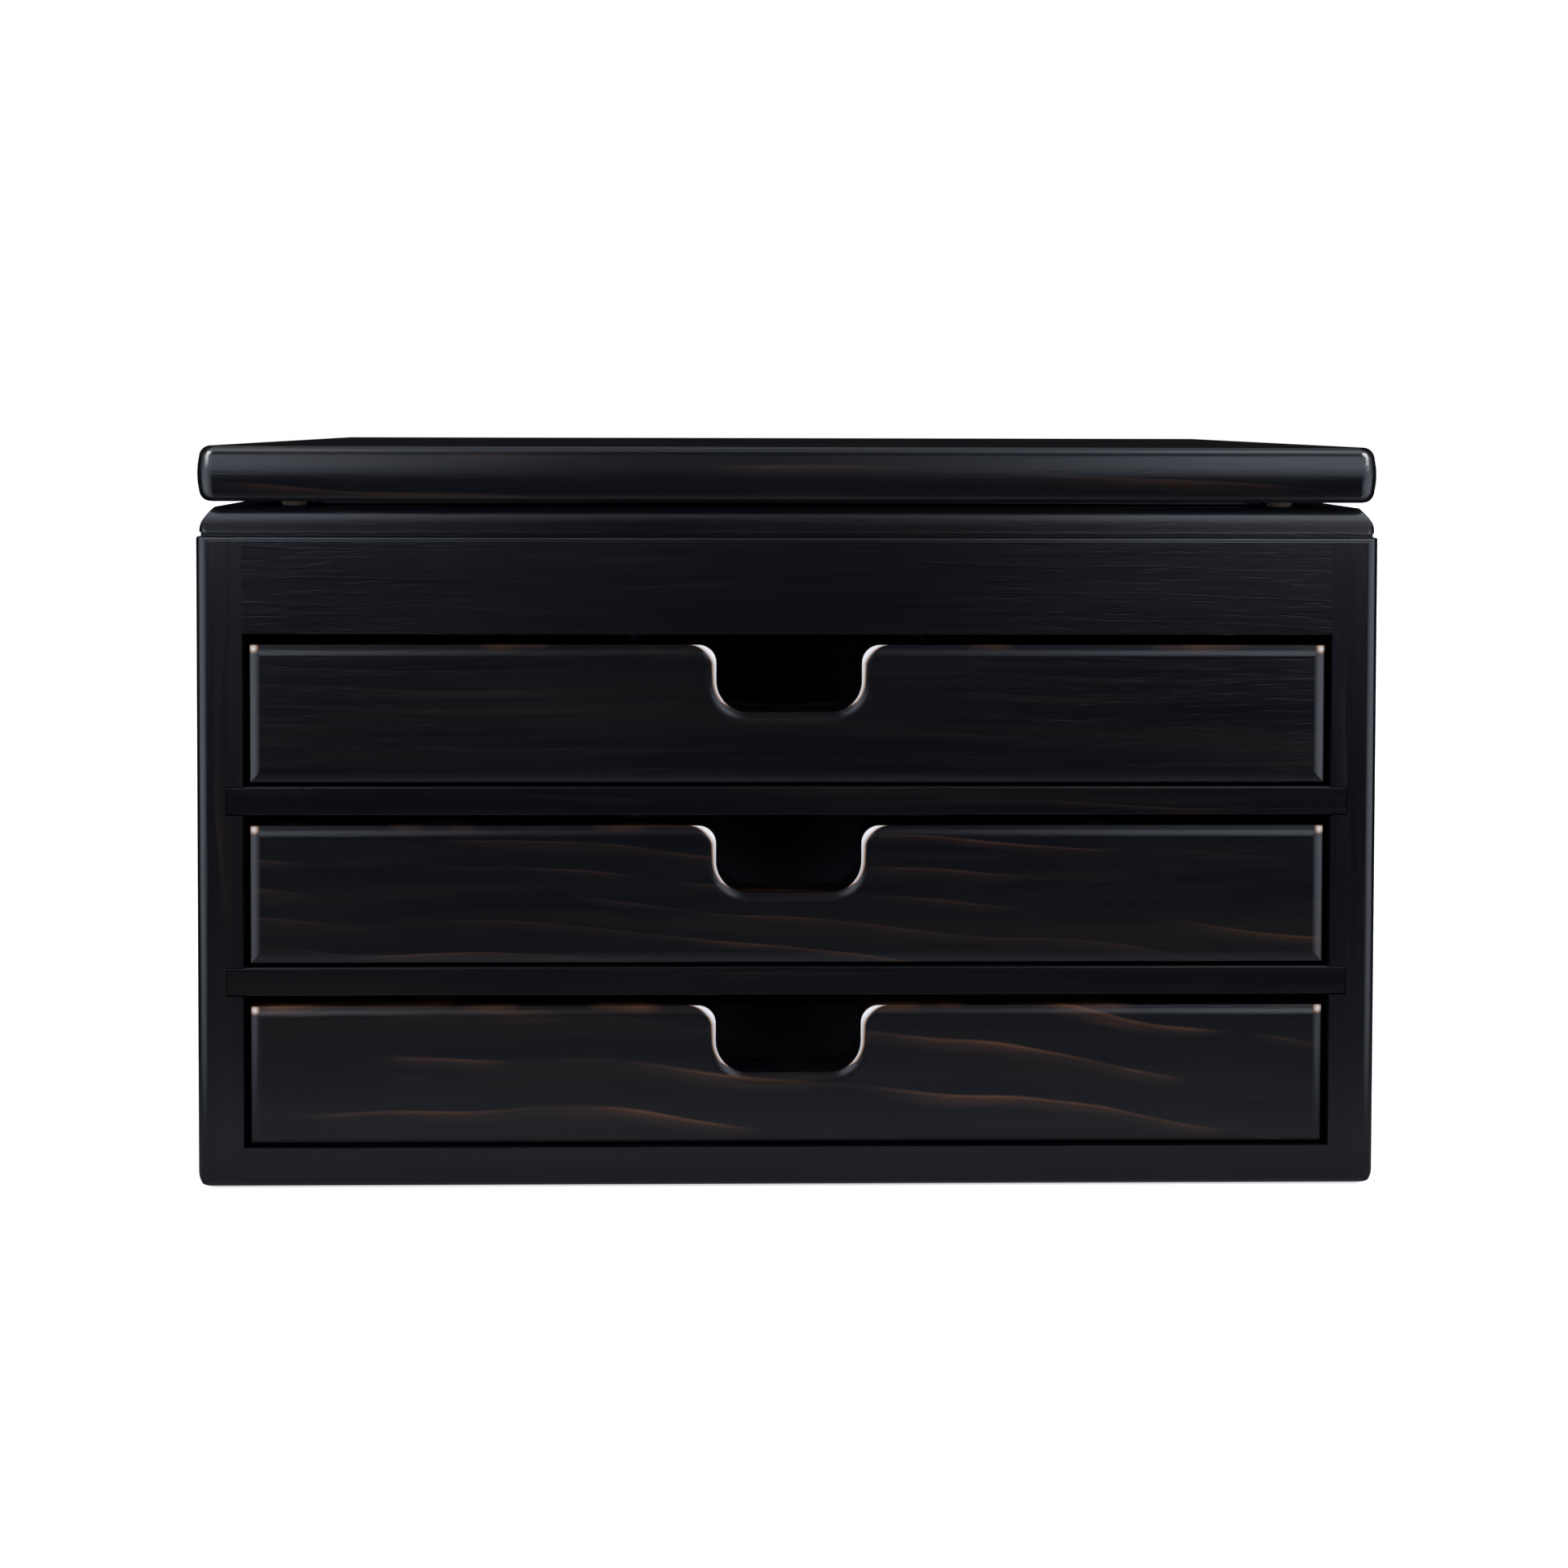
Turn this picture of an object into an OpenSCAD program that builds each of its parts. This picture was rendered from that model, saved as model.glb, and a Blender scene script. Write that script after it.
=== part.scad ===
// Desktop jewelry chest: a hinged lid with a mirror over a lined tray, and three inset drawers.
// Millimetres. X runs along the width, -Y is the front, +Z is up, and Z = 0 is the surface it rests on.

/* [Cabinet] */
// Width of the cabinet and of the lid
body_w = 280; // [240:1:320]
// Depth of the cabinet and of the lid
body_d = 180; // [150:1:220]
// Thickness of the side panels, the fascia and the back rail
side_t = 11.3; // [10:0.1:14]
// Thickness of the bottom board
base_t = 9.6; // [8:0.1:14]
// Thickness of the shelves between the drawers
shelf_t = 6.8; // [5:0.1:9]
// Clear height of each drawer bay
bay_h = 36.1; // [34:0.1:45]
// Height of the fascia above the top drawer
fascia_h = 23; // [21:0.5:40]
// Height of the rounded rim moulding
rim_h = 6.8; // [6:0.1:9]
// How far the felt under the base stands proud
felt_proud = 0.4; // [0.2:0.1:0.8]

/* [Lid] */
// Thickness of the lid board
lid_t = 13.2; // [11:0.1:15]
// Radius of the lid's upright corners, seen from above
lid_corner_r = 4.5; // [4.5:0.1:6]
// Radius of the crown on the lid's edges
lid_crown_r = 20; // [14:0.5:26]
// Radius of the small rounding above and below the crown
lid_arris_r = 2.6; // [2:0.1:3]
// Gap between the rim and the closed lid
lid_gap = 1.3; // [1.2:0.1:1.6]
// Width of the mirror
mirror_w = 220; // [150:1:220]
// Depth of the mirror
mirror_d = 120; // [80:1:120]

/* [Drawers] */
// Thickness of the drawer fronts
front_t = 11; // [9:0.1:14]
// Gap at each end of a drawer front
front_side_gap = 1.6; // [1:0.1:3]
// Gap above a drawer front
front_top_gap = 2.6; // [2:0.1:3.5]
// Gap below a drawer front
front_low_gap = 1.0; // [0.8:0.1:2]
// Width of the eased edges of a drawer front
front_ease_w = 2.5; // [1.5:0.1:3]
// Radius of the shallow arc that eases those edges
front_ease_r = 5; // [4:0.5:8]
// Width of the finger notch
notch_w = 34.5; // [28:0.5:50]
// Depth of the finger notch
notch_d = 16; // [12:0.5:18]
// Radius of the notch's lower corners
notch_r = 7.5; // [4:0.5:9]
// Thickness of the drawer sides and backs
drawer_side_t = 7; // [6:0.5:9]

/* [Tray] */
// Width of the section that holds the ring rolls
ring_section_w = 78; // [70:1:90]
// Thickness of the tray dividers
tray_divider_t = 5; // [4:0.5:7]
// Height of the tray dividers
tray_divider_h = 19; // [15:0.5:20]

/* [Hidden] */
DRAWERS = ["bottom", "middle", "top"];
DRAWER_PARTS = ["front", "left_side", "right_side", "back", "floor", "lining"];
ROLLS = [1:5];

$fn = 64;
eps = 0.01;

// Colours
ebony = [0.06, 0.06, 0.07];
dark_brown = [0.12, 0.09, 0.07];
charcoal = [0.2, 0.2, 0.22];
brass = [0.78, 0.62, 0.33];

// Levels, from the resting surface up
case_z = felt_proud;
case_h = base_t + 3 * bay_h + 2 * shelf_t + fascia_h;
case_top = case_z + case_h;
tray_z = case_top - fascia_h;
rim_top = case_top + rim_h;
lid_z = rim_top + lid_gap;

// The lid's arris stands out this far past the crown, so that the two arcs cross at an angle
lid_arris_stand = 0.01;

// Plan of the cabinet
half_w = body_w / 2;
half_d = body_d / 2;
inner_half_w = half_w - side_t;
case_edge_r = 3;
case_base_r = 4.5;
case_top_r = 1.2;

// Joinery of the cabinet
dado = 4;
back_t = 5;
back_rabbet = 5;
bay_back_y = half_d - back_t;
tray_floor_t = 4;
shelf_setback = 0.3;
shelf_edge_r = 0.5;
felt_t = 1.2;
felt_margin = 6;
felt_recess = felt_t - felt_proud;

// Rim moulding: a shadow groove at its foot, then a curve that leans inwards
rim_foot_inset = 0.6;
rim_foot_h = 0.9;
rim_foot_depth = 0.8;
rim_lean_low = 14;
rim_lean_high = 46;
rim_arc_r = (rim_h - rim_foot_h) / (sin(rim_lean_high) - sin(rim_lean_low));

// Tray
lining_t = 1.2;
tray_top = tray_z + tray_floor_t;
tray_lined_z = tray_top + lining_t;
tray_half_w = inner_half_w;
tray_half_d = half_d - side_t;
wall_lining_drop = 1.6;
wall_lining_h = rim_top - tray_lined_z - wall_lining_drop;
wall_lining_gap = 0.1;
lined_half_w = tray_half_w - lining_t;
lined_half_d = tray_half_d - lining_t;
divider_gap = 0.15;
ring_divider_x = -lined_half_w + ring_section_w;
tray_right_x = ring_divider_x + tray_divider_t;
tray_cross_x = (tray_right_x + lined_half_w) / 2;
roll_pitch = ring_section_w / 5;
roll_r = roll_pitch / 2 - 0.15;
roll_end_gap = 1.5;
lap_gap = 0.1;

// Hinges: the axis lies behind the rim, under the lid's back edge
hinge_x = 92;
hinge_l = 28;
hinge_segments = 5;
segment_l = hinge_l / hinge_segments;
segment_gap = 0.12;
knuckle_r = 2;
hinge_bore_r = 0.84;
hinge_pin_r = 0.8;
hinge_y = half_d - knuckle_r;
hinge_z = rim_top + lid_gap / 2;
leaf_t = 1;
leaf_w = hinge_y - tray_half_d;
leaf_gap = 0.12;
knuckle_clear = 0.4;
screw_r = 0.8;
screw_head_r = 1.6;
screw_head_h = 0.8;
screw_l = 6;
screw_inset = 5;
screw_y = hinge_y - 6.2;
pilot_gap = 0.02;
screw_xs = [-hinge_l / 2 + screw_inset, hinge_l / 2 - screw_inset];

// Mirror in the lid
mirror_t = 2;
mirror_pocket = 2.2;
mirror_play = 0.5;
frame_t = 1.5;
frame_w = 9;
frame_lap = 3;
mirror_y = -6;
bumper_r = 3;
bumper_gap = 0.1;
bumper_x = 118;

// Drawers
drawer_setback = 0.3;
drawer_run_gap = 0.3;
drawer_lateral_gap = front_side_gap + 0.4;
drawer_back_gap = 0.6;
drawer_side_drop = 3.6;
front_w = 2 * (inner_half_w - front_side_gap);
front_h = bay_h - front_top_gap - front_low_gap;
front_top = front_low_gap + front_h;
front_y = -half_d + drawer_setback;
drawer_half_w = inner_half_w - drawer_lateral_gap;
drawer_box_y = front_y + front_t;
drawer_end_y = bay_back_y - drawer_back_gap;
drawer_side_h = front_top - drawer_side_drop;
drawer_inner_half_w = drawer_half_w - drawer_side_t;
drawer_inner_back_y = drawer_end_y - drawer_side_t;
drawer_floor_t = 3;
drawer_floor_z = 2.5;
drawer_groove = 3;
groove_gap = 0.1;
drawer_lined_z = drawer_floor_z + drawer_floor_t + lining_t;
drawer_divider_t = 3.6;
drawer_divider_h = 17;
drawer_mid_y = (drawer_box_y + drawer_inner_back_y) / 2;
drawer_cross_x = 42;
notch_lip_r = 4.2;
front_ease_h = front_ease_r - sqrt(pow(front_ease_r, 2) - pow(front_ease_w, 2));

function bay_z(i) = case_z + base_t + i * (bay_h + shelf_t);

// A length to the nearest thousandth of a millimetre, so that outlines that should meet share their points
function whole_micron(length) = round(length * 1000) / 1000;

// ---------- shared shapes ----------

// A box given by its lowest and highest corners
module block(low, high) {
    translate(low)
        cube(high - low);
}

// A rectangle with its own radius at the top and at the bottom corners
module rounded_rect(w, h, low_r, high_r) {
    difference() {
        translate([-w / 2, 0])
            square([w, h]);
        for (side = [-1, 1]) {
            corner_waste(side * w / 2, 0, -side, 1, low_r);
            corner_waste(side * w / 2, h, -side, -1, high_r);
        }
    }
}

// What a rounded corner leaves out: the square at (x, y) that runs inwards, less its quarter circle
module corner_waste(x, y, dx, dy, r) {
    translate([x, y])
        scale([dx, dy])
            difference() {
                translate([-1, -1])
                    square(r + 1);
                translate([r, r])
                    circle(r);
            }
}

// The outer form of the case: eased upright edges, rounded base and eased top arris
module case_envelope() {
    intersection() {
        translate([0, -half_d, case_z])
            linear_extrude(case_h)
                rounded_rect(body_w, body_d, case_edge_r, case_edge_r);
        translate([0, half_d, case_z])
            rotate([90, 0, 0])
                linear_extrude(body_d)
                    rounded_rect(body_w, case_h, case_base_r, case_top_r);
        translate([-half_w, 0, case_z])
            rotate([90, 0, 90])
                linear_extrude(body_w)
                    rounded_rect(body_d, case_h, case_base_r / 2, case_top_r);
    }
}

// What easing leaves out of a drawer front along an edge at x: the corner beyond a shallow arc that is
// tangent to the face
module ease_waste(x, dx) {
    translate([x, front_t])
        scale([dx, -1])
            difference() {
                translate([-1, -1])
                    square([front_ease_w + 1, front_ease_h + 1]);
                translate([front_ease_w, front_ease_r])
                    circle(front_ease_r, $fn = 180);
            }
}

// ---------- cabinet ----------

module side_panel(side) {
    inner = side * inner_half_w;
    outer = side * half_w;
    groove = side * (inner_half_w + dado);
    rabbet = side * (inner_half_w + back_rabbet);
    difference() {
        intersection() {
            case_envelope();
            block([min(inner, outer), -half_d, case_z], [max(inner, outer), half_d, case_top]);
        }
        for (i = [1, 2])
            block([min(inner, groove) - eps, -half_d - 1, bay_z(i) - shelf_t],
                  [max(inner, groove) + eps, bay_back_y, bay_z(i)]);
        block([min(inner, groove), -tray_half_d, tray_z], [max(inner, groove), tray_half_d, tray_top]);
        block([min(inner, rabbet), bay_back_y, case_z + base_t], [max(inner, rabbet), half_d + 1, tray_z]);
        felt_pocket();
    }
}

module felt_pocket() {
    block([-half_w + felt_margin, -half_d + felt_margin, -1],
          [half_w - felt_margin, half_d - felt_margin, case_z + felt_recess]);
}

module left_side_panel() {
    color(ebony)
        side_panel(-1);
}

module right_side_panel() {
    color(ebony)
        side_panel(1);
}

module bottom_board() {
    color(ebony)
        difference() {
            intersection() {
                case_envelope();
                block([-inner_half_w, -half_d, case_z], [inner_half_w, half_d, case_z + base_t]);
            }
            felt_pocket();
        }
}

// A shelf with its ends in the side panels' housings and its front edge eased
module shelf(i) {
    half_l = inner_half_w + dado - 2 * eps;
    front = -half_d + shelf_setback;
    translate([-half_l, 0, bay_z(i) - shelf_t])
        rotate([90, 0, 90])
            linear_extrude(2 * half_l)
                difference() {
                    translate([front, 0])
                        square([bay_back_y - front, shelf_t]);
                    corner_waste(front, 0, 1, 1, shelf_edge_r);
                    corner_waste(front, shelf_t, 1, -1, shelf_edge_r);
                }
}

module lower_shelf() {
    color(ebony)
        shelf(1);
}

module upper_shelf() {
    color(ebony)
        shelf(2);
}

module front_fascia() {
    color(ebony)
        intersection() {
            case_envelope();
            block([-inner_half_w, -half_d, tray_z], [inner_half_w, -tray_half_d, case_top]);
        }
}

module back_top_rail() {
    color(ebony)
        intersection() {
            case_envelope();
            block([-inner_half_w, tray_half_d, tray_z], [inner_half_w, half_d, case_top]);
        }
}

module back_panel() {
    half_l = inner_half_w + back_rabbet - divider_gap;
    color(dark_brown)
        block([-half_l, bay_back_y, case_z + base_t], [half_l, half_d, tray_z]);
}

module tray_floor() {
    half_l = inner_half_w + dado;
    color(dark_brown)
        block([-half_l, -tray_half_d, tray_z], [half_l, tray_half_d, tray_top]);
}

module base_felt() {
    margin = felt_margin + divider_gap;
    color(charcoal)
        block([-half_w + margin, -half_d + margin, 0], [half_w - margin, half_d - margin, felt_t]);
}

// ---------- rim moulding ----------

// Section of the rim, with the outer face at x = 0 and the case's inner face at x = side_t
module rim_section() {
    arc_x = rim_foot_inset + rim_arc_r * cos(rim_lean_low);
    arc_z = rim_foot_h - rim_arc_r * sin(rim_lean_low);
    intersection() {
        union() {
            translate([rim_foot_inset + rim_foot_depth, 0])
                square([side_t - rim_foot_inset - rim_foot_depth, rim_h]);
            translate([rim_foot_inset, rim_foot_h])
                square([side_t / 2, rim_h - rim_foot_h]);
        }
        translate([arc_x, arc_z])
            circle(rim_arc_r, $fn = 180);
    }
}

// A straight length of rim along a wall, mitred at both ends
module rim_length(wall_l, offset_y) {
    difference() {
        intersection() {
            translate([-wall_l / 2, -offset_y, case_top])
                rotate([90, 0, 90])
                    linear_extrude(wall_l)
                        rim_section();
            translate([0, -offset_y + rim_foot_inset, case_top])
                linear_extrude(rim_h)
                    rounded_rect(wall_l - 2 * rim_foot_inset, 2 * offset_y, case_edge_r, case_edge_r);
        }
        for (side = [-1, 1])
            translate([side * wall_l / 2, -offset_y, case_top - 1])
                rotate(side * 45)
                    translate([side > 0 ? 0 : -2 * side_t, -side_t, 0])
                        cube([2 * side_t, 4 * side_t, rim_h + 2]);
    }
}

module rim_front() {
    color(ebony)
        rim_length(body_w, half_d);
}

module rim_back() {
    color(ebony)
        difference() {
            rotate(180)
                rim_length(body_w, half_d);
            for (x = [-hinge_x, hinge_x]) {
                block([x - hinge_l / 2 - leaf_gap, tray_half_d - 1, rim_top - leaf_t],
                      [x + hinge_l / 2 + leaf_gap, half_d, rim_top + 1]);
                knuckle_space(x);
                for (dx = screw_xs)
                    translate([x + dx, screw_y, rim_top - screw_l])
                        cylinder(r = screw_r + pilot_gap, h = screw_l);
            }
        }
}

module rim_left() {
    color(ebony)
        rotate(-90)
            rim_length(body_d, half_w);
}

module rim_right() {
    color(ebony)
        rotate(90)
            rim_length(body_d, half_w);
}

// ---------- tray ----------

module tray_floor_lining() {
    color(charcoal)
        block([-tray_half_w + wall_lining_gap, -tray_half_d + wall_lining_gap, tray_top],
              [tray_half_w - wall_lining_gap, tray_half_d - wall_lining_gap, tray_lined_z]);
}

// Four lined boards stand around the tray, clear of each other at the corners
module tray_wall_lining() {
    low = tray_lined_z;
    high = tray_lined_z + wall_lining_h;
    color(charcoal) {
        for (side = [-1, 1]) {
            x = side * (tray_half_w - lining_t / 2);
            y = side * (tray_half_d - lining_t / 2);
            block([x - lining_t / 2, -lined_half_d + wall_lining_gap, low],
                  [x + lining_t / 2, lined_half_d - wall_lining_gap, high]);
            block([-tray_half_w, y - lining_t / 2, low], [tray_half_w, y + lining_t / 2, high]);
        }
    }
}

module ring_divider() {
    color(charcoal)
        block([ring_divider_x, -lined_half_d + divider_gap, tray_lined_z],
              [tray_right_x, lined_half_d - divider_gap, tray_lined_z + tray_divider_h]);
}

// Two boards that cross: the long one is slotted from above and the other one from below
module tray_long_divider() {
    slot = tray_divider_t / 2 + lap_gap;
    color(charcoal)
        difference() {
            block([tray_right_x + divider_gap, -tray_divider_t / 2, tray_lined_z],
                  [lined_half_w - divider_gap, tray_divider_t / 2, tray_lined_z + tray_divider_h]);
            block([tray_cross_x - slot, -tray_divider_t, tray_lined_z + tray_divider_h / 2],
                  [tray_cross_x + slot, tray_divider_t, tray_lined_z + tray_divider_h + 1]);
        }
}

module tray_cross_divider() {
    slot = tray_divider_t / 2 + lap_gap;
    color(charcoal)
        difference() {
            block([tray_cross_x - tray_divider_t / 2, -lined_half_d + divider_gap, tray_lined_z],
                  [tray_cross_x + tray_divider_t / 2, lined_half_d - divider_gap, tray_lined_z + tray_divider_h]);
            block([tray_cross_x - tray_divider_t, -slot, tray_lined_z - 1],
                  [tray_cross_x + tray_divider_t, slot, tray_lined_z + tray_divider_h / 2 + lap_gap]);
        }
}

module ring_roll(i) {
    x = -lined_half_w + (i - 0.5) * roll_pitch;
    color(charcoal)
        translate([x, lined_half_d - roll_end_gap, tray_lined_z + roll_r])
            rotate([90, 0, 0])
                cylinder(r = roll_r, h = 2 * (lined_half_d - roll_end_gap));
}

// ---------- hinges ----------

module knuckle_space(x) {
    translate([x - hinge_l / 2 - leaf_gap, hinge_y, hinge_z])
        rotate([0, 90, 0])
            cylinder(r = knuckle_r + knuckle_clear, h = hinge_l + 2 * leaf_gap);
}

// A hinge leaf: a plate at the given level with knuckles at every other segment
module hinge_leaf(x, plate_z, first_segment, head_up) {
    difference() {
        union() {
            difference() {
                block([x - hinge_l / 2, hinge_y - leaf_w, plate_z], [x + hinge_l / 2, hinge_y, plate_z + leaf_t]);
                for (k = [1 - first_segment : 2 : hinge_segments - 1])
                    hinge_segment(x, k, knuckle_r + knuckle_clear / 2, segment_gap);
            }
            for (k = [first_segment : 2 : hinge_segments - 1])
                hinge_segment(x, k, knuckle_r, -segment_gap / 2);
        }
        translate([x - hinge_l, hinge_y, hinge_z])
            rotate([0, 90, 0])
                cylinder(r = hinge_bore_r, h = 2 * hinge_l);
        for (dx = screw_xs)
            translate([x + dx, screw_y, plate_z])
                screw_hole(head_up);
    }
}

// One knuckle's length of cylinder about the hinge axis, longer by grow at each end
module hinge_segment(x, k, r, grow) {
    translate([x - hinge_l / 2 + k * segment_l - grow, hinge_y, hinge_z])
        rotate([0, 90, 0])
            cylinder(r = r, h = segment_l + 2 * grow);
}

module screw_hole(head_up) {
    translate([0, 0, leaf_t / 2])
        mirror([0, 0, head_up ? 0 : 1]) {
            translate([0, 0, -leaf_t])
                cylinder(r = screw_r + pilot_gap, h = 2 * leaf_t);
            translate([0, 0, leaf_t / 2 - screw_head_h])
                cylinder(r1 = screw_r + pilot_gap, r2 = screw_head_r + pilot_gap, h = screw_head_h + eps);
        }
}

// A countersunk screw whose head is flush at z = 0 and whose point is below
module screw() {
    translate([0, 0, -screw_head_h])
        cylinder(r1 = screw_r, r2 = screw_head_r, h = screw_head_h);
    translate([0, 0, -screw_l + screw_r])
        cylinder(r = screw_r, h = screw_l - screw_r);
    translate([0, 0, -screw_l])
        cylinder(r1 = 0.1, r2 = screw_r, h = screw_r);
}

module hinge_leaf_cabinet_left() {
    color(brass)
        hinge_leaf(-hinge_x, rim_top - leaf_t, 0, true);
}

module hinge_leaf_cabinet_right() {
    color(brass)
        hinge_leaf(hinge_x, rim_top - leaf_t, 0, true);
}

module hinge_leaf_lid_left() {
    color(brass)
        hinge_leaf(-hinge_x, lid_z, 1, false);
}

module hinge_leaf_lid_right() {
    color(brass)
        hinge_leaf(hinge_x, lid_z, 1, false);
}

module hinge_pin(x) {
    translate([x - hinge_l / 2, hinge_y, hinge_z])
        rotate([0, 90, 0])
            cylinder(r = hinge_pin_r, h = hinge_l);
}

module hinge_pin_left() {
    color(brass)
        hinge_pin(-hinge_x);
}

module hinge_pin_right() {
    color(brass)
        hinge_pin(hinge_x);
}

module hinge_screws_cabinet() {
    color(brass)
        for (x = [-hinge_x, hinge_x], dx = screw_xs)
            translate([x + dx, screw_y, rim_top])
                screw();
}

module hinge_screws_lid() {
    color(brass)
        for (x = [-hinge_x, hinge_x], dx = screw_xs)
            translate([x + dx, screw_y, lid_z])
                rotate([180, 0, 0])
                    screw();
}

// ---------- lid ----------

// The section of a board, w across and t high, whose edges are crowned and have small rounded arrises
module crowned_section(w, t) {
    crown_x = w / 2 - lid_crown_r;
    arris_z = t / 2 - lid_arris_r;
    arris_x = whole_micron(crown_x + sqrt(pow(lid_crown_r - lid_arris_r, 2) - pow(arris_z, 2)) + lid_arris_stand);
    crown_half_h = whole_micron(lid_crown_r * arris_z / (lid_crown_r - lid_arris_r));
    translate([0, t / 2]) {
        square([2 * arris_x, t], center = true);
        for (side = [-1, 1]) {
            for (z = [-arris_z, arris_z])
                translate([side * arris_x, z])
                    circle(lid_arris_r);
            intersection() {
                translate([side * crown_x, 0])
                    circle(lid_crown_r, $fn = 180);
                translate([side * w / 4, 0])
                    square([w / 2, 2 * crown_half_h], center = true);
            }
        }
    }
}

// The outer end of that section: r across from its upright corner's axis, and t high
module crowned_edge(r, t) {
    intersection() {
        crowned_section(2 * r, t);
        square([r, t]);
    }
}

// A board with that section all round, and its upright corners turned to a radius
module crowned_board(w, d, t, r) {
    translate([r - w / 2, 0, 0])
        rotate([90, 0, 90])
            linear_extrude(w - 2 * r)
                crowned_section(d, t);
    for (turn = [0, 180])
        rotate([0, 0, turn])
            translate([w / 2 - r, d / 2 - r, 0])
                rotate([90, 0, 0])
                    linear_extrude(d - 2 * r)
                        crowned_edge(r, t);
    for (quarter = [0:3]) {
        x = cos(90 * quarter + 45) < 0 ? r - w / 2 : w / 2 - r;
        y = sin(90 * quarter + 45) < 0 ? r - d / 2 : d / 2 - r;
        translate([x, y, 0])
            rotate([0, 0, 90 * quarter])
                rotate_extrude(angle = 90)
                    crowned_edge(r, t);
    }
}

module lid_board() {
    color(ebony)
        difference() {
            translate([0, 0, lid_z])
                crowned_board(body_w, body_d, lid_t, lid_corner_r);
            translate([0, mirror_y, 0])
                block([-mirror_w / 2 - mirror_play, -mirror_d / 2 - mirror_play, lid_z - 1],
                      [mirror_w / 2 + mirror_play, mirror_d / 2 + mirror_play, lid_z + mirror_pocket]);
            for (x = [-hinge_x, hinge_x]) {
                block([x - hinge_l / 2 - leaf_gap, hinge_y - leaf_w - leaf_gap, lid_z - 1],
                      [x + hinge_l / 2 + leaf_gap, half_d + 1, lid_z + leaf_t]);
                knuckle_space(x);
                for (dx = screw_xs)
                    translate([x + dx, screw_y, lid_z])
                        cylinder(r = screw_r + pilot_gap, h = screw_l);
            }
        }
}

module lid_mirror() {
    color([0.8, 0.85, 0.88])
        translate([0, mirror_y, 0])
            block([-mirror_w / 2, -mirror_d / 2, lid_z + mirror_pocket - mirror_t],
                  [mirror_w / 2, mirror_d / 2, lid_z + mirror_pocket]);
}

// Four mitred strips that lap over the mirror's edge, a hair apart at the mitres
module mirror_frame() {
    w = mirror_w / 2 - frame_lap + frame_w;
    d = mirror_d / 2 - frame_lap + frame_w;
    color(ebony)
        translate([0, mirror_y, lid_z - frame_t])
            linear_extrude(frame_t)
                for (side = [-1, 1]) {
                    scale([1, side])
                        mitred_strip(w, d);
                    rotate(90)
                        scale([1, side])
                            mitred_strip(d, w);
                }
}

module mitred_strip(half_l, y) {
    mitre_gap = 0.08;
    polygon([
        [-half_l + mitre_gap, y],
        [half_l - mitre_gap, y],
        [half_l - frame_w - mitre_gap, y - frame_w],
        [-half_l + frame_w + mitre_gap, y - frame_w]
    ]);
}

module lid_bumpers() {
    color(dark_brown)
        for (x = [-bumper_x, bumper_x])
            translate([x, -tray_half_d - bumper_r, rim_top + bumper_gap])
                cylinder(r = bumper_r, h = lid_gap - bumper_gap);
}

// ---------- drawers ----------

// Moves a drawer's part from its own bay floor to bay i
module in_bay(i) {
    translate([0, 0, bay_z(i)])
        children();
}

// The elevation of a drawer front: a board with the finger notch in its top edge
module front_outline() {
    difference() {
        translate([-front_w / 2, front_low_gap])
            square([front_w, front_h]);
        translate([0, front_top - notch_d])
            rounded_rect(notch_w, 2 * notch_d, notch_r, eps);
        for (side = [-1, 1])
            corner_waste(side * notch_w / 2, front_top, side, -1, notch_lip_r);
    }
}

// What easing leaves out along a straight edge that runs across, from x0 to x1 at height y
module ease_across(x0, x1, y, inward) {
    translate([x0, 0, 0])
        rotate([90, 0, 90])
            linear_extrude(x1 - x0)
                ease_waste(y, inward);
}

// The same along an upright edge, from y0 to y1 at x
module ease_up(x, y0, y1, inward) {
    translate([0, y1, 0])
        rotate([90, 0, 0])
            linear_extrude(y1 - y0)
                ease_waste(x, inward);
}

// The easing all round the face of a drawer front, and on around its notch
module front_easing() {
    overrun = 1;
    notch_x = notch_w / 2;
    lip_x = notch_x + notch_lip_r;
    corner_x = notch_x - notch_r;
    floor_y = front_top - notch_d;
    ease_across(-front_w / 2 - overrun, front_w / 2 + overrun, front_low_gap, 1);
    ease_across(-corner_x, corner_x, floor_y, -1);
    for (side = [-1, 1]) {
        x = side * front_w / 2;
        ease_up(x, front_low_gap - overrun, front_top + overrun, -side);
        ease_up(side * notch_x, floor_y + notch_r, front_top - notch_lip_r, side);
        ease_across(min(x, side * lip_x), max(x, side * lip_x), front_top, -1);
        translate([side * corner_x, floor_y + notch_r, 0])
            rotate(side > 0 ? -90 : 180)
                rotate_extrude(angle = 90)
                    ease_waste(notch_r, 1);
        translate([side * lip_x, front_top - notch_lip_r, 0])
            rotate(side > 0 ? 90 : 0)
                rotate_extrude(angle = 90)
                    ease_waste(notch_lip_r, -1);
    }
}

// A drawer front with an eased face, and a groove behind for the drawer's floor
module drawer_front() {
    groove_x = drawer_inner_half_w + drawer_groove;
    color(ebony)
        difference() {
            translate([0, drawer_box_y, 0])
                rotate([90, 0, 0])
                    difference() {
                        linear_extrude(front_t)
                            front_outline();
                        front_easing();
                    }
            block([-groove_x, drawer_box_y - drawer_groove, drawer_floor_z - groove_gap / 2],
                  [groove_x, half_d, drawer_floor_z + drawer_floor_t + groove_gap / 2]);
        }
}

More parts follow.
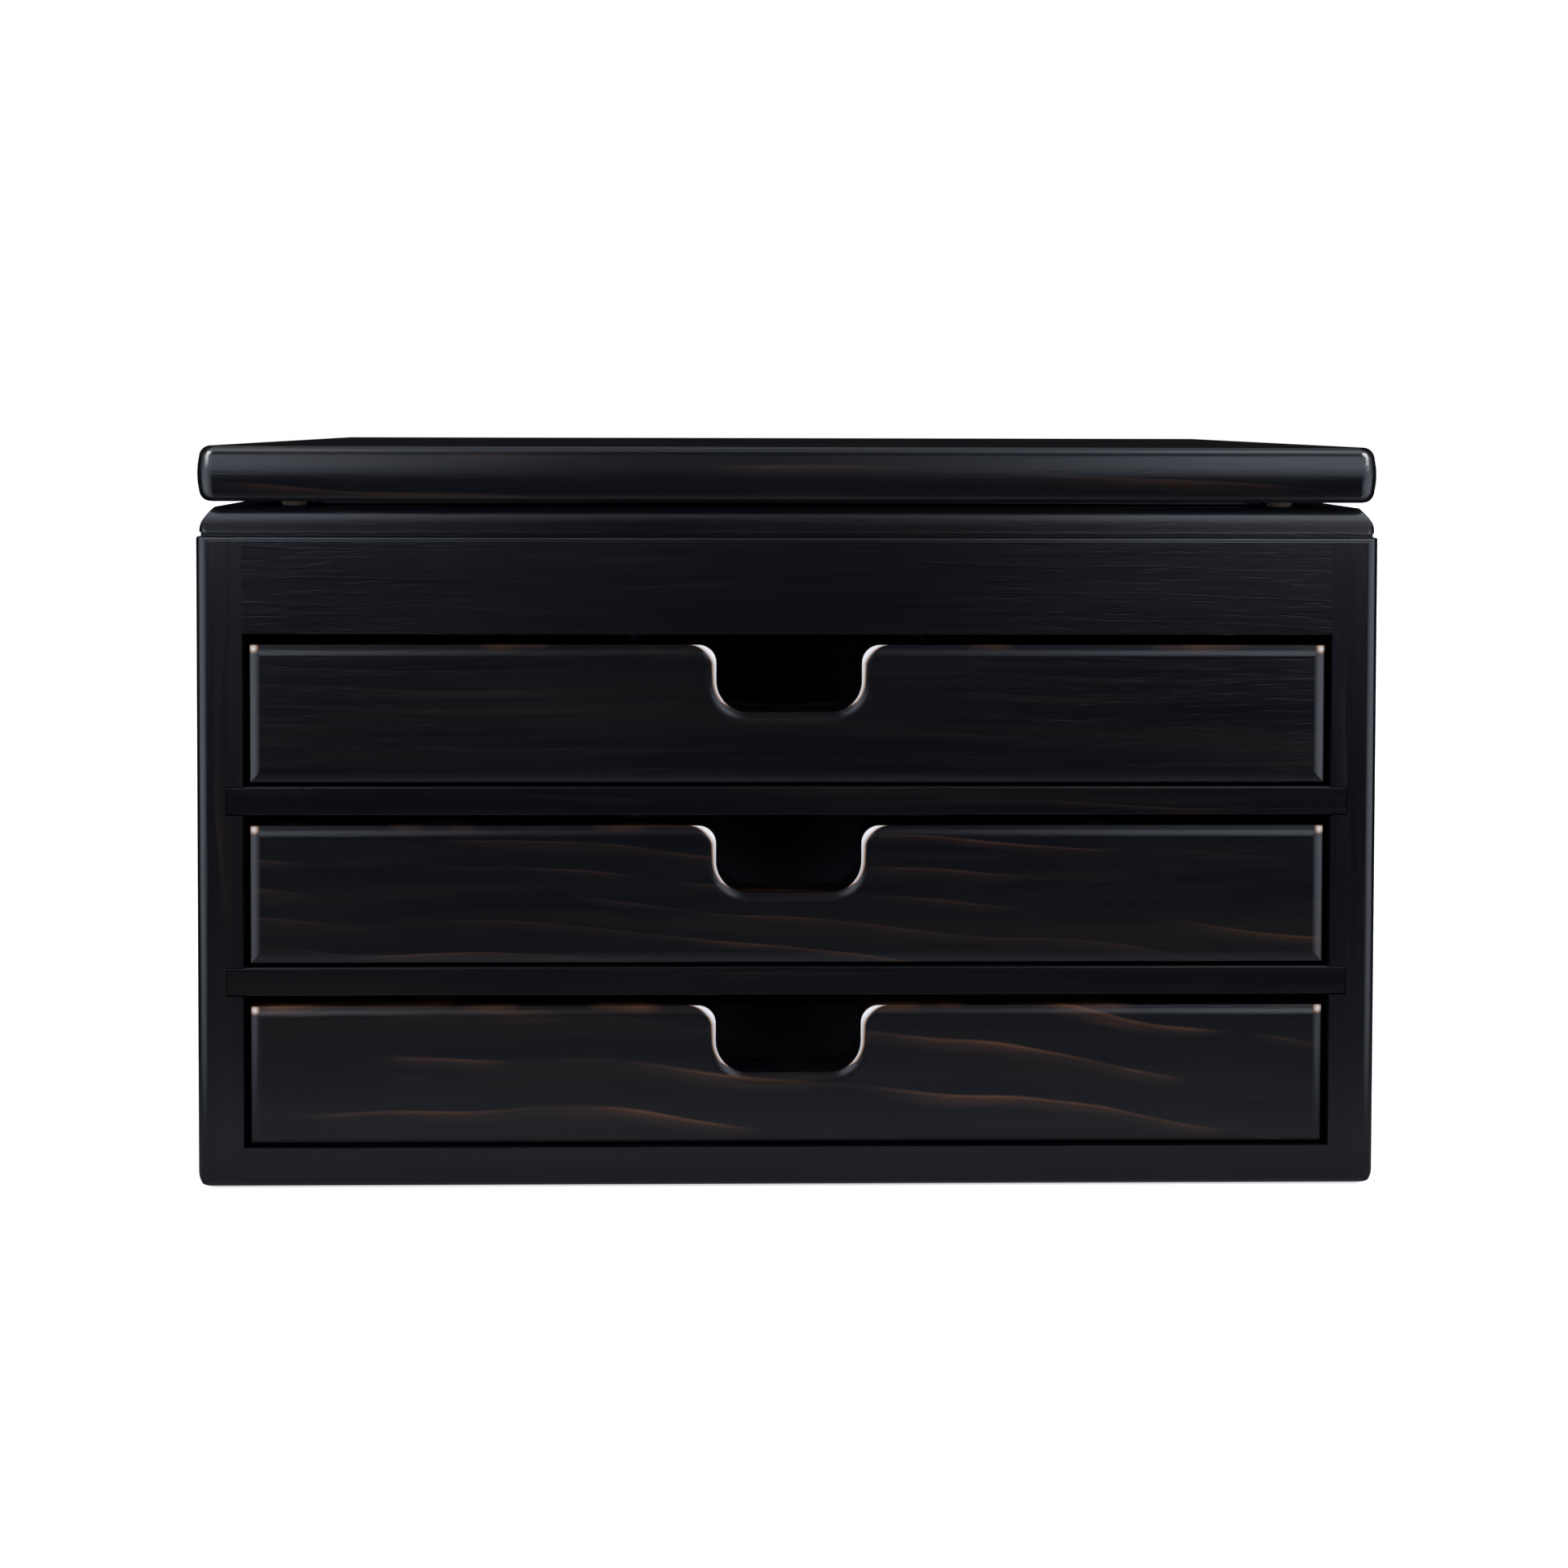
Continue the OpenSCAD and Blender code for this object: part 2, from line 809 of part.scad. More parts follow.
module drawer_side(side) {
    inner = side * drawer_inner_half_w;
    outer = side * drawer_half_w;
    groove = side * (drawer_inner_half_w + drawer_groove);
    color(dark_brown)
        difference() {
            block([min(inner, outer), drawer_box_y, drawer_run_gap],
                  [max(inner, outer), drawer_end_y, drawer_side_h]);
            block([min(inner, groove) - eps, drawer_box_y - 1, drawer_floor_z - groove_gap / 2],
                  [max(inner, groove) + eps, drawer_end_y + 1, drawer_floor_z + drawer_floor_t + groove_gap / 2]);
        }
}

// The drawer back stands on the floor, between the sides
module drawer_back() {
    color(dark_brown)
        block([-drawer_inner_half_w, drawer_inner_back_y, drawer_floor_z + drawer_floor_t],
              [drawer_inner_half_w, drawer_end_y, drawer_side_h]);
}

module drawer_floor() {
    half_l = drawer_inner_half_w + drawer_groove - groove_gap;
    color(dark_brown)
        block([-half_l, drawer_box_y - drawer_groove + groove_gap, drawer_floor_z],
              [half_l, drawer_end_y, drawer_floor_z + drawer_floor_t]);
}

module drawer_lining() {
    color(charcoal)
        block([-drawer_inner_half_w + divider_gap, drawer_box_y + divider_gap, drawer_floor_z + drawer_floor_t],
              [drawer_inner_half_w - divider_gap, drawer_inner_back_y - divider_gap, drawer_lined_z]);
}

// A divider from side to side, slotted from above where cross dividers meet it
module long_divider(slot_xs) {
    slot = drawer_divider_t / 2 + lap_gap;
    y = drawer_mid_y;
    color(charcoal)
        difference() {
            block([-drawer_inner_half_w + divider_gap, y - drawer_divider_t / 2, drawer_lined_z],
                  [drawer_inner_half_w - divider_gap, y + drawer_divider_t / 2, drawer_lined_z + drawer_divider_h]);
            for (x = slot_xs)
                block([x - slot, y - drawer_divider_t, drawer_lined_z + drawer_divider_h / 2],
                      [x + slot, y + drawer_divider_t, drawer_lined_z + drawer_divider_h + 1]);
        }
}

// Dividers from front to back, slotted from below where they cross a long one
module cross_dividers(xs, crosses_long) {
    slot = drawer_divider_t / 2 + lap_gap;
    color(charcoal)
        for (x = xs)
            difference() {
                block([x - drawer_divider_t / 2, drawer_box_y + divider_gap, drawer_lined_z],
                      [x + drawer_divider_t / 2, drawer_inner_back_y - divider_gap, drawer_lined_z + drawer_divider_h]);
                if (crosses_long)
                    block([x - drawer_divider_t, drawer_mid_y - slot, drawer_lined_z - 1],
                          [x + drawer_divider_t, drawer_mid_y + slot, drawer_lined_z + drawer_divider_h / 2 + lap_gap]);
            }
}

module drawer_bottom_long_divider() {
    in_bay(0)
        long_divider([]);
}

module drawer_middle_cross_dividers() {
    in_bay(1)
        cross_dividers([-drawer_cross_x, drawer_cross_x], false);
}

module drawer_top_long_divider() {
    in_bay(2)
        long_divider([-drawer_cross_x, drawer_cross_x]);
}

module drawer_top_cross_dividers() {
    in_bay(2)
        cross_dividers([-drawer_cross_x, drawer_cross_x], true);
}

// ---------- what is drawn ----------

left_side_panel();
right_side_panel();
bottom_board();
lower_shelf();
upper_shelf();
front_fascia();
back_top_rail();
back_panel();
tray_floor();
base_felt();
rim_front();
rim_back();
rim_left();
rim_right();
tray_floor_lining();
tray_wall_lining();
ring_divider();
tray_long_divider();
tray_cross_divider();
for (i = ROLLS)
    ring_roll(i);
hinge_leaf_cabinet_left();
hinge_leaf_cabinet_right();
hinge_pin_left();
hinge_pin_right();
hinge_screws_cabinet();
lid_board();
lid_mirror();
mirror_frame();
lid_bumpers();
hinge_leaf_lid_left();
hinge_leaf_lid_right();
hinge_screws_lid();
for (i = [0 : len(DRAWERS) - 1]) {
    name = str("drawer_", DRAWERS[i], "_");
    in_bay(i) drawer_front();
    in_bay(i) drawer_side(-1);
    in_bay(i) drawer_side(1);
    in_bay(i) drawer_back();
    in_bay(i) drawer_floor();
    in_bay(i) drawer_lining();
}
drawer_bottom_long_divider();
drawer_middle_cross_dividers();
drawer_top_long_divider();
drawer_top_cross_dividers();
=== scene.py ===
"""Looks of a desktop jewelry chest: near-black wood, velvet linings, ring rolls, brass hinges, mirror.

Metres, in the frame of the CAD model: X along the width, -Y the front, +Z up.
"""

import math

import bmesh
import bpy
from mathutils import Matrix, Vector, noise


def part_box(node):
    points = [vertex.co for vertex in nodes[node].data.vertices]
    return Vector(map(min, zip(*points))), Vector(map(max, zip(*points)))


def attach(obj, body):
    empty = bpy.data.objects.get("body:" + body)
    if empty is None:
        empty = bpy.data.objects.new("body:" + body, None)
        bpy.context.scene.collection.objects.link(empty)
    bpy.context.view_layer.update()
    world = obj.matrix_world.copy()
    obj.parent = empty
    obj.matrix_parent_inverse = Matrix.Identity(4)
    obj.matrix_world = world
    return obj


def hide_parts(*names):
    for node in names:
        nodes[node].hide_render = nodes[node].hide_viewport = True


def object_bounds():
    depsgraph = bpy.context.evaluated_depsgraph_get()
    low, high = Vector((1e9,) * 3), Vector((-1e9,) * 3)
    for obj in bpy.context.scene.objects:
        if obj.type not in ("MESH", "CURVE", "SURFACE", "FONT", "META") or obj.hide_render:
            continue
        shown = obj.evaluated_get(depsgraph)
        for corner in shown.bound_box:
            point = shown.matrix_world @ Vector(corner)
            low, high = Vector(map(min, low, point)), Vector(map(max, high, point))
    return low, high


MM = 0.001
TINY = 1e-6  # a length that counts as none
DRAWERS = ("bottom", "middle", "top")

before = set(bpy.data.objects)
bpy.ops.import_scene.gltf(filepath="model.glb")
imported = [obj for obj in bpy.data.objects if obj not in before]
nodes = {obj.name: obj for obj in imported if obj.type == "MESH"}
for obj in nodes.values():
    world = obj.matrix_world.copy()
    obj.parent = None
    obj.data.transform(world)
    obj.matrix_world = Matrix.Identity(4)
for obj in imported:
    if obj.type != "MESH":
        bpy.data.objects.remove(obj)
cad_low, cad_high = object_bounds()
scene = bpy.context.scene


# ---------- camera ----------

def make_camera():
    """A close view of the front, from just above the lid's top and a little left of the middle.

    The place, angles and shift were fitted to the perspective of the photographed front.
    """
    left_of_middle, before_front, above_lid = 15 * MM, 461 * MM, 7.3 * MM
    data = bpy.data.cameras.new("camera")
    data.lens = 45
    data.sensor_width = 36
    data.shift_x = 0.0179
    data.shift_y = -0.2042
    data.dof.use_dof = False
    camera = bpy.data.objects.new("camera", data)
    camera.location = (-left_of_middle, cad_low.y - before_front, cad_high.z + above_lid)
    pitch, yaw, roll = math.radians(-1.41), math.radians(-0.87), math.radians(0.13)
    aim = Matrix.Rotation(yaw, 4, "Z") @ Matrix.Rotation(math.pi / 2 + pitch, 4, "X")
    camera.rotation_euler = (aim @ Matrix.Rotation(roll, 4, "Z")).to_euler()
    scene.collection.objects.link(camera)
    scene.camera = camera


# ---------- node graphs ----------

# A Mix node has one set of sockets for each kind of value. These are the places of its colour sockets.
MIX_COLOUR_A, MIX_COLOUR_B, MIX_COLOUR_RESULT = 6, 7, 2


class Graph:
    """A node tree with short calls for the nodes that the materials below are made of."""

    def __init__(self, tree, point="Object"):
        self.tree = tree
        self.point = self.node("TexCoord").outputs[point]

    def node(self, kind, **settings):
        made = self.tree.nodes.new("ShaderNode" + kind)
        for name, value in settings.items():
            setattr(made, name, value)
        return made

    def feed(self, socket, value):
        if isinstance(value, bpy.types.NodeSocket):
            self.tree.links.new(value, socket)
        else:
            socket.default_value = value

    def math(self, operation, a, b=0.0, clamp=False):
        made = self.node("Math", operation=operation, use_clamp=clamp)
        self.feed(made.inputs[0], a)
        self.feed(made.inputs[1], b)
        return made.outputs[0]

    def vector(self, operation, a, b):
        made = self.node("VectorMath", operation=operation)
        self.feed(made.inputs[0], a)
        self.feed(made.inputs[1], b)
        return made.outputs["Value" if operation == "LENGTH" else "Vector"]

    def length(self, x, y):
        return self.vector("LENGTH", self.join(x, y, 0.0), (0, 0, 0))

    def stretch(self, point, scale, shift=(0, 0, 0)):
        made = self.node("Mapping")
        self.feed(made.inputs["Vector"], point)
        made.inputs["Scale"].default_value = scale
        made.inputs["Location"].default_value = shift
        return made.outputs["Vector"]

    def noise(self, point, detail=2.0, roughness=0.5, output="Fac", distortion=0.0):
        made = self.node("TexNoise")
        self.feed(made.inputs["Vector"], point)
        made.inputs["Scale"].default_value = 1.0
        made.inputs["Detail"].default_value = detail
        made.inputs["Roughness"].default_value = roughness
        made.inputs["Distortion"].default_value = distortion
        return made.outputs[output]

    def split(self, point):
        made = self.node("SeparateXYZ")
        self.feed(made.inputs[0], point)
        return made.outputs[0], made.outputs[1], made.outputs[2]

    def join(self, x, y, z):
        made = self.node("CombineXYZ")
        for socket, value in zip(made.inputs, (x, y, z)):
            self.feed(socket, value)
        return made.outputs[0]

    def ramp(self, value, *stops):
        """Stops are (position, grey or colour) pairs, in order."""
        made = self.node("ValToRGB")
        self.feed(made.inputs["Fac"], value)
        elements = made.color_ramp.elements
        while len(elements) < len(stops):
            elements.new(0.5)
        for element, (position, colour) in zip(elements, stops):
            element.position = position
            element.color = (colour,) * 3 + (1,) if isinstance(colour, (int, float)) else (*colour, 1)
        return made.outputs["Color"]

    def mix(self, share, a, b, blend="MIX"):
        made = self.node("Mix", data_type="RGBA", blend_type=blend)
        self.feed(made.inputs["Factor"], share)
        self.feed(made.inputs[MIX_COLOUR_A], (*a, 1) if isinstance(a, tuple) else a)
        self.feed(made.inputs[MIX_COLOUR_B], (*b, 1) if isinstance(b, tuple) else b)
        return made.outputs[MIX_COLOUR_RESULT]

    def multiply(self, *colours):
        """The product of all the colours."""
        product = colours[0]
        for colour in colours[1:]:
            product = self.mix(1.0, product, colour, "MULTIPLY")
        return product

    def brightest(self, *colours):
        """The brightest of the colours, channel by channel."""
        best = colours[0]
        for colour in colours[1:]:
            best = self.mix(1.0, best, colour, "LIGHTEN")
        return best

    def excess(self, value, threshold, span):
        """How far value is past threshold, as a share of span, from 0 to 1."""
        return self.math("DIVIDE", self.math("SUBTRACT", value, threshold), span, clamp=True)

    def bump(self, height, distance, strength=1.0):
        made = self.node("Bump")
        made.inputs["Strength"].default_value = strength
        made.inputs["Distance"].default_value = distance
        self.feed(made.inputs["Height"], height)
        return made.outputs["Normal"]


def new_material(name, **uniform):
    """A material, its graph and its shader, with the uniform values set on the shader's own sockets."""
    material = bpy.data.materials.new(name)
    material.use_nodes = True
    shader = material.node_tree.nodes["Principled BSDF"]
    for socket, value in uniform.items():
        shader.inputs[socket.replace("_", " ")].default_value = value
    return material, Graph(material.node_tree), shader


# ---------- materials ----------

def along_grain(graph, grain):
    """The point with its grain direction first, so that one set of textures serves every board."""
    x, y, z = graph.split(graph.point)
    order = {"X": (x, y, z), "Y": (y, x, z), "Z": (z, y, x)}[grain]
    return graph.join(*order)


# The radii of the notch's lower corners and of its lips, and the width of the easing, as in the CAD.
NOTCH_CORNER_R = 7.5 * MM
NOTCH_LIP_R = 4.2 * MM
EASING_W = 0.9 * MM


def wear_and_highlight_share(graph, front):
    """Paleness of a drawer front, 0 to 1: wear and painted highlight at its notch lips, painted highlight
    at its top corners.
    """
    x, y, z = graph.split(graph.point)
    aside = graph.math("ABSOLUTE", x)
    corner_r, lip_r = NOTCH_CORNER_R, NOTCH_LIP_R
    floor_z, top_z = front["floor_z"], front["top_z"]

    # How far the point lies past the notch's outline, which flares by a lip radius at the top.
    in_x = graph.math("MAXIMUM", graph.math("SUBTRACT", aside, front["notch_x"] - corner_r), 0.0)
    in_z = graph.math("MAXIMUM", graph.math("SUBTRACT", floor_z + corner_r, z), 0.0)
    past = graph.math("SUBTRACT", graph.length(in_x, in_z), corner_r)
    lift = graph.math("MAXIMUM", graph.math("SUBTRACT", z, top_z - lip_r), 0.0)
    run_square = graph.math("SUBTRACT", lip_r * lip_r, graph.math("POWER", lift, 2.0))
    flare = graph.math("SUBTRACT", lip_r, graph.math("SQRT", graph.math("MAXIMUM", run_square, 0.0)))
    past = graph.math("SUBTRACT", past, flare)

    # The band of wear and painted highlight is wide at the lips, narrow on the way down, and gone on the
    # notch's floor.
    lip_band, lip_fade = 2.5 * MM, 1.2 * MM
    share = graph.math("DIVIDE", graph.math("SUBTRACT", z, floor_z), top_z - floor_z)
    band = graph.ramp(
        share, (0.0, 0.0), (0.06, 0.0), (0.16, 0.32), (0.45, 0.42), (0.72, 0.5), (1.0, 1.0)
    )
    lips = graph.excess(graph.math("MULTIPLY", band, lip_band), past, lip_fade)

    # Each top corner gets a small spot of painted highlight. Neither wear nor painted highlight reaches
    # deeper than the easing's width.
    spot_drop, spot_r, spot_fade = 0.8 * MM, 1.4 * MM, 1.9 * MM
    off_x = graph.math("SUBTRACT", aside, front["corner_x"])
    off_z = graph.math("SUBTRACT", z, top_z - spot_drop)
    corners = graph.excess(spot_r, graph.length(off_x, off_z), spot_fade)
    depth_fade = 0.3 * MM
    on_face = graph.excess(front["face_y"] + EASING_W, y, depth_fade)
    return graph.math("MULTIPLY", graph.math("MAXIMUM", lips, corners), on_face)


# Drawer-front colours at the notch lips and top corners: orange worn stain, then pale colours that are part
# worn wood and part painted highlight.
WORN_EDGE = (0.20, 0.10, 0.05)
PALE_WEAR_AND_HIGHLIGHT = (0.30, 0.28, 0.27)
BARE_WOOD_AND_HIGHLIGHT = (0.46, 0.44, 0.44)


def wear_and_paint_highlight(graph, colour, streak, point, seed, front):
    """The colour of a drawer front, rubbed along its top edge, and pale at its notch lips and top corners
    with wear and painted highlight.
    """
    height = graph.split(graph.point)[2]
    edge_w, most_touched = 2.0 * MM, 0.4
    near = graph.excess(height, front["top_z"] - edge_w, edge_w)
    rubbed = graph.noise(graph.stretch(point, (34, 60, 60), (seed, 0, 9)), 2, 0.6)
    rubbed = graph.ramp(rubbed, (0.56, 0.0), (0.72, 1.0))
    touch = graph.math("MULTIPLY", graph.math("MULTIPLY", near, rubbed), most_touched)
    colour = graph.mix(touch, colour, streak)
    # Pale colour at the notch lips is partly worn stain and partly painted highlight; at the top corners it
    # is painted highlight.
    wear_highlight_amount = wear_and_highlight_share(graph, front)
    wear_highlight_colour = graph.ramp(wear_highlight_amount, (0.0, streak), (0.22, WORN_EDGE), (0.55, PALE_WEAR_AND_HIGHLIGHT), (1.0, BARE_WOOD_AND_HIGHLIGHT))
    return graph.mix(graph.ramp(wear_highlight_amount, (0.0, 0.0), (0.30, 0.8), (0.5, 1.0)), colour, wear_highlight_colour)


def wood(name, grain, seed, ring_gap, pith, drift, wave, streaks, tones, uniform, gloss, front=None,
         bend=0.0):
    """Stained wood. Growth rings run round a pith line, which lies at pith and drifts along the board.

    ring_gap is the ring spacing, wave the height of the slow waves in the grain, streaks how strongly the
    rings' pale wood shows through the stain, tones the dark, brown and streak colours, and gloss the
    roughness range. front gives the outline of a drawer front, whose handled edges have lost some stain,
    and on whose notch lips and top corners a highlight is painted.
    bend is how fast the grain steepens away from the middle of the board. The seed slides the board along
    its log, so that no two boards share a pattern.
    """
    material, graph, shader = new_material(name, **uniform)
    dark, brown, streak = tones
    board_point = along_grain(graph, grain)
    point = graph.vector("ADD", board_point, (seed * 0.37, 0.0, 0.0))

    # The rings are circles round the pith line, bent by slow waves.
    slow = graph.noise(graph.stretch(point, (13, 22, 22), (seed, 0, 0)), 1.5, output="Color")
    warp = graph.vector("MULTIPLY", graph.vector("SUBTRACT", slow, (0.5, 0.5, 0.5)), (0, wave, wave))
    bent = graph.vector("ADD", point, warp)
    u, v, w = graph.split(bent)
    across = graph.math("ADD", graph.math("SUBTRACT", v, pith[0]), graph.math("MULTIPLY", u, drift[0]))
    upward = graph.math("ADD", graph.math("SUBTRACT", w, pith[1]), graph.math("MULTIPLY", u, drift[1]))
    run = graph.split(board_point)[0]
    upward = graph.math("ADD", upward, graph.math("MULTIPLY", graph.math("MULTIPLY", run, run), bend))
    radius = graph.length(across, upward)
    phase = graph.math("FRACT", graph.math("DIVIDE", radius, ring_gap))
    ring = graph.ramp(phase, (0.0, 0.0), (0.70, 0.02), (0.90, 0.35), (0.96, 1.0), (1.0, 0.0))

    # The rings show through the stain in patches, broken by the fibres.
    fibre = graph.noise(graph.stretch(bent, (14, 620, 620), (seed, 3, 1)), 3, 0.6)
    streaky = graph.noise(graph.stretch(bent, (5, 170, 170), (seed, 1, 5)), 3, 0.55)
    patch = graph.noise(graph.stretch(point, (18, 60, 60), (seed, 7, 2)), 2, 0.55)
    patch = graph.ramp(patch, (0.44, 0.0), (0.68, 1.0))
    shown = graph.math("MULTIPLY", ring, patch)
    shown = graph.math("MULTIPLY", shown, graph.ramp(fibre, (0.25, 0.35), (0.7, 1.0)))
    shown = graph.math("MULTIPLY", shown, streaks, clamp=True)
    ground = graph.mix(graph.ramp(streaky, (0.42, 0.0), (0.72, 1.0)), dark, brown)
    colour = graph.mix(shown, ground, streak)
    # Drawer fronts: wear along the top edge, and pale colour at the notch lips and top corners that is
    # partly wear and partly painted highlight.
    if front is not None:
        colour = wear_and_paint_highlight(graph, colour, streak, point, seed, front)
    graph.feed(shader.inputs["Base Color"], colour)

    # The finish is uneven, and the open pores and rings stand out a little.
    smear = graph.noise(graph.stretch(point, (12, 30, 30), (seed, 4, 4)), 2)
    blend = graph.math("ADD", graph.math("MULTIPLY", fibre, 0.5), graph.math("MULTIPLY", smear, 0.5))
    graph.feed(shader.inputs["Roughness"], graph.ramp(blend, (0.3, gloss[0]), (0.7, gloss[1])))
    pores = graph.noise(graph.stretch(bent, (90, 1500, 1500), (seed, 2, 8)), 2)
    pores = graph.ramp(pores, (0.30, 0.0), (0.42, 1.0))
    relief = graph.math("ADD", graph.math("MULTIPLY", fibre, 0.6), graph.math("MULTIPLY", pores, 0.4))
    relief = graph.math("ADD", relief, graph.math("MULTIPLY", ring, 0.25))
    graph.feed(shader.inputs["Normal"], graph.bump(relief, 0.05 * MM, 0.55))
    return material


# Dark stain, brown stain and streak. The smooth tones are for boards with hardly any brown.
EBONY_TONES = ((0.0009, 0.0012, 0.0024), (0.0036, 0.0028, 0.0026), (0.085, 0.034, 0.015))
SMOOTH_TONES = ((0.0010, 0.0012, 0.0024), (0.0020, 0.0018, 0.0026), (0.085, 0.034, 0.015))
EBONY_COAT = {"Coat_Weight": 0.25, "Coat_Roughness": 0.14, "IOR": 1.5}
THIN_COAT = {"Coat_Weight": 0.1, "Coat_Roughness": 0.2, "IOR": 1.36}
EBONY_GLOSS = (0.16, 0.26)


def ebony(name, grain, seed, ring_gap=6 * MM, pith=(0.02, 0.0), drift=(0.0, 0.02), wave=6 * MM,
          streaks=0.12, front=None, coat=EBONY_COAT, tones=EBONY_TONES, bend=0.0):
    """The near-black wood of the outside."""
    return wood(name, grain, seed, ring_gap, pith, drift, wave, streaks, tones, coat, EBONY_GLOSS, front,
                bend)


def inner_wood(name, grain, seed):
    """The dark brown, matte wood of the drawer boxes, tray floor and back."""
    tones = ((0.011, 0.0075, 0.0055), (0.021, 0.014, 0.010), (0.05, 0.031, 0.019))
    return wood(name, grain, seed, 4 * MM, (0.03, 0.01), (0.0, 0.01), 4 * MM, 0.7, tones,
                {"IOR": 1.45}, (0.5, 0.66))


def velvet(name, dark, pale):
    """Short pile: a dark ground, a pale sheen, and soft patches where the nap lies another way."""
    material, graph, shader = new_material(
        name, Sheen_Weight=0.55, Sheen_Roughness=0.35, Sheen_Tint=(0.55, 0.57, 0.66, 1), IOR=1.4
    )
    shader.inputs["Specular IOR Level"].default_value = 0.2
    nap = graph.noise(graph.stretch(graph.point, (26, 26, 26)), 2, 0.5, distortion=1.2)
    tuft = graph.noise(graph.stretch(graph.point, (900, 900, 900)), 2, 0.6)
    share = graph.math("ADD", graph.math("MULTIPLY", nap, 0.75), graph.math("MULTIPLY", tuft, 0.35))
    colour = graph.mix(graph.ramp(share, (0.38, 0.0), (0.72, 1.0)), dark, pale)
    graph.feed(shader.inputs["Base Color"], colour)
    graph.feed(shader.inputs["Roughness"], graph.ramp(tuft, (0.3, 0.82), (0.7, 0.98)))
    graph.feed(shader.inputs["Normal"], graph.bump(tuft, 0.25 * MM, 0.6))
    return material


def felt(name, dark, pale):
    """Pressed fibres: matted threads in every direction, with small pills."""
    material, graph, shader = new_material(name, Sheen_Weight=0.3, Sheen_Roughness=0.6, IOR=1.4)
    shader.inputs["Specular IOR Level"].default_value = 0.1
    shader.inputs["Roughness"].default_value = 0.95
    threads = graph.noise(graph.stretch(graph.point, (700, 700, 700)), 4, 0.7, distortion=2.5)
    pills = graph.noise(graph.stretch(graph.point, (160, 160, 160)), 2, 0.5)
    share = graph.math("ADD", graph.math("MULTIPLY", threads, 0.6), graph.math("MULTIPLY", pills, 0.4))
    colour = graph.mix(graph.ramp(share, (0.35, 0.0), (0.65, 1.0)), dark, pale)
    graph.feed(shader.inputs["Base Color"], colour)
    graph.feed(shader.inputs["Normal"], graph.bump(share, 0.3 * MM, 0.8))
    return material


def brass(name):
    """Aged satin brass: fine brushing along X, duller brown in patches."""
    material, graph, shader = new_material(name, Metallic=1.0)
    brushed = graph.noise(graph.stretch(graph.point, (60, 2400, 2400)), 3, 0.6)
    age = graph.noise(graph.stretch(graph.point, (210, 210, 210)), 4, 0.65)
    age = graph.ramp(age, (0.42, 0.0), (0.70, 1.0))
    graph.feed(shader.inputs["Base Color"], graph.mix(age, (0.66, 0.46, 0.20), (0.30, 0.19, 0.08)))
    blend = graph.math("ADD", graph.math("MULTIPLY", brushed, 0.5), graph.math("MULTIPLY", age, 0.5))
    graph.feed(shader.inputs["Roughness"], graph.ramp(blend, (0.2, 0.24), (0.9, 0.5)))
    graph.feed(shader.inputs["Normal"], graph.bump(brushed, 0.02 * MM, 0.5))
    return material


def silvered_glass(name):
    """A mirror with a trace of haze where it has been wiped."""
    material, graph, shader = new_material(name, Metallic=1.0)
    wiped = graph.noise(graph.stretch(graph.point, (14, 40, 14)), 4, 0.6, distortion=1.5)
    graph.feed(shader.inputs["Base Color"], graph.mix(wiped, (0.86, 0.89, 0.90), (0.80, 0.83, 0.84)))
    graph.feed(shader.inputs["Roughness"], graph.ramp(wiped, (0.45, 0.008), (0.8, 0.05)))
    graph.feed(shader.inputs["Normal"], graph.bump(wiped, 0.002 * MM, 0.2))
    return material


# ---------- stage and light ----------

# The tint of the light that the chest reflects, and the strength of the tent's light.
COOL_LIGHT = (0.78, 0.85, 1.0)
TENT_RADIANCE = 1.8


def light_path(graph, ray):
    return graph.node("LightPath").outputs[ray]


def emission(graph, colour):
    made = graph.node("Emission")
    graph.feed(made.inputs["Color"], colour)
    return made.outputs[0]


def mix_shaders(graph, share, a, b):
    made = graph.node("MixShader")
    graph.feed(made.inputs[0], share)
    graph.tree.links.new(a, made.inputs[1])
    graph.tree.links.new(b, made.inputs[2])
    return made.outputs[0]


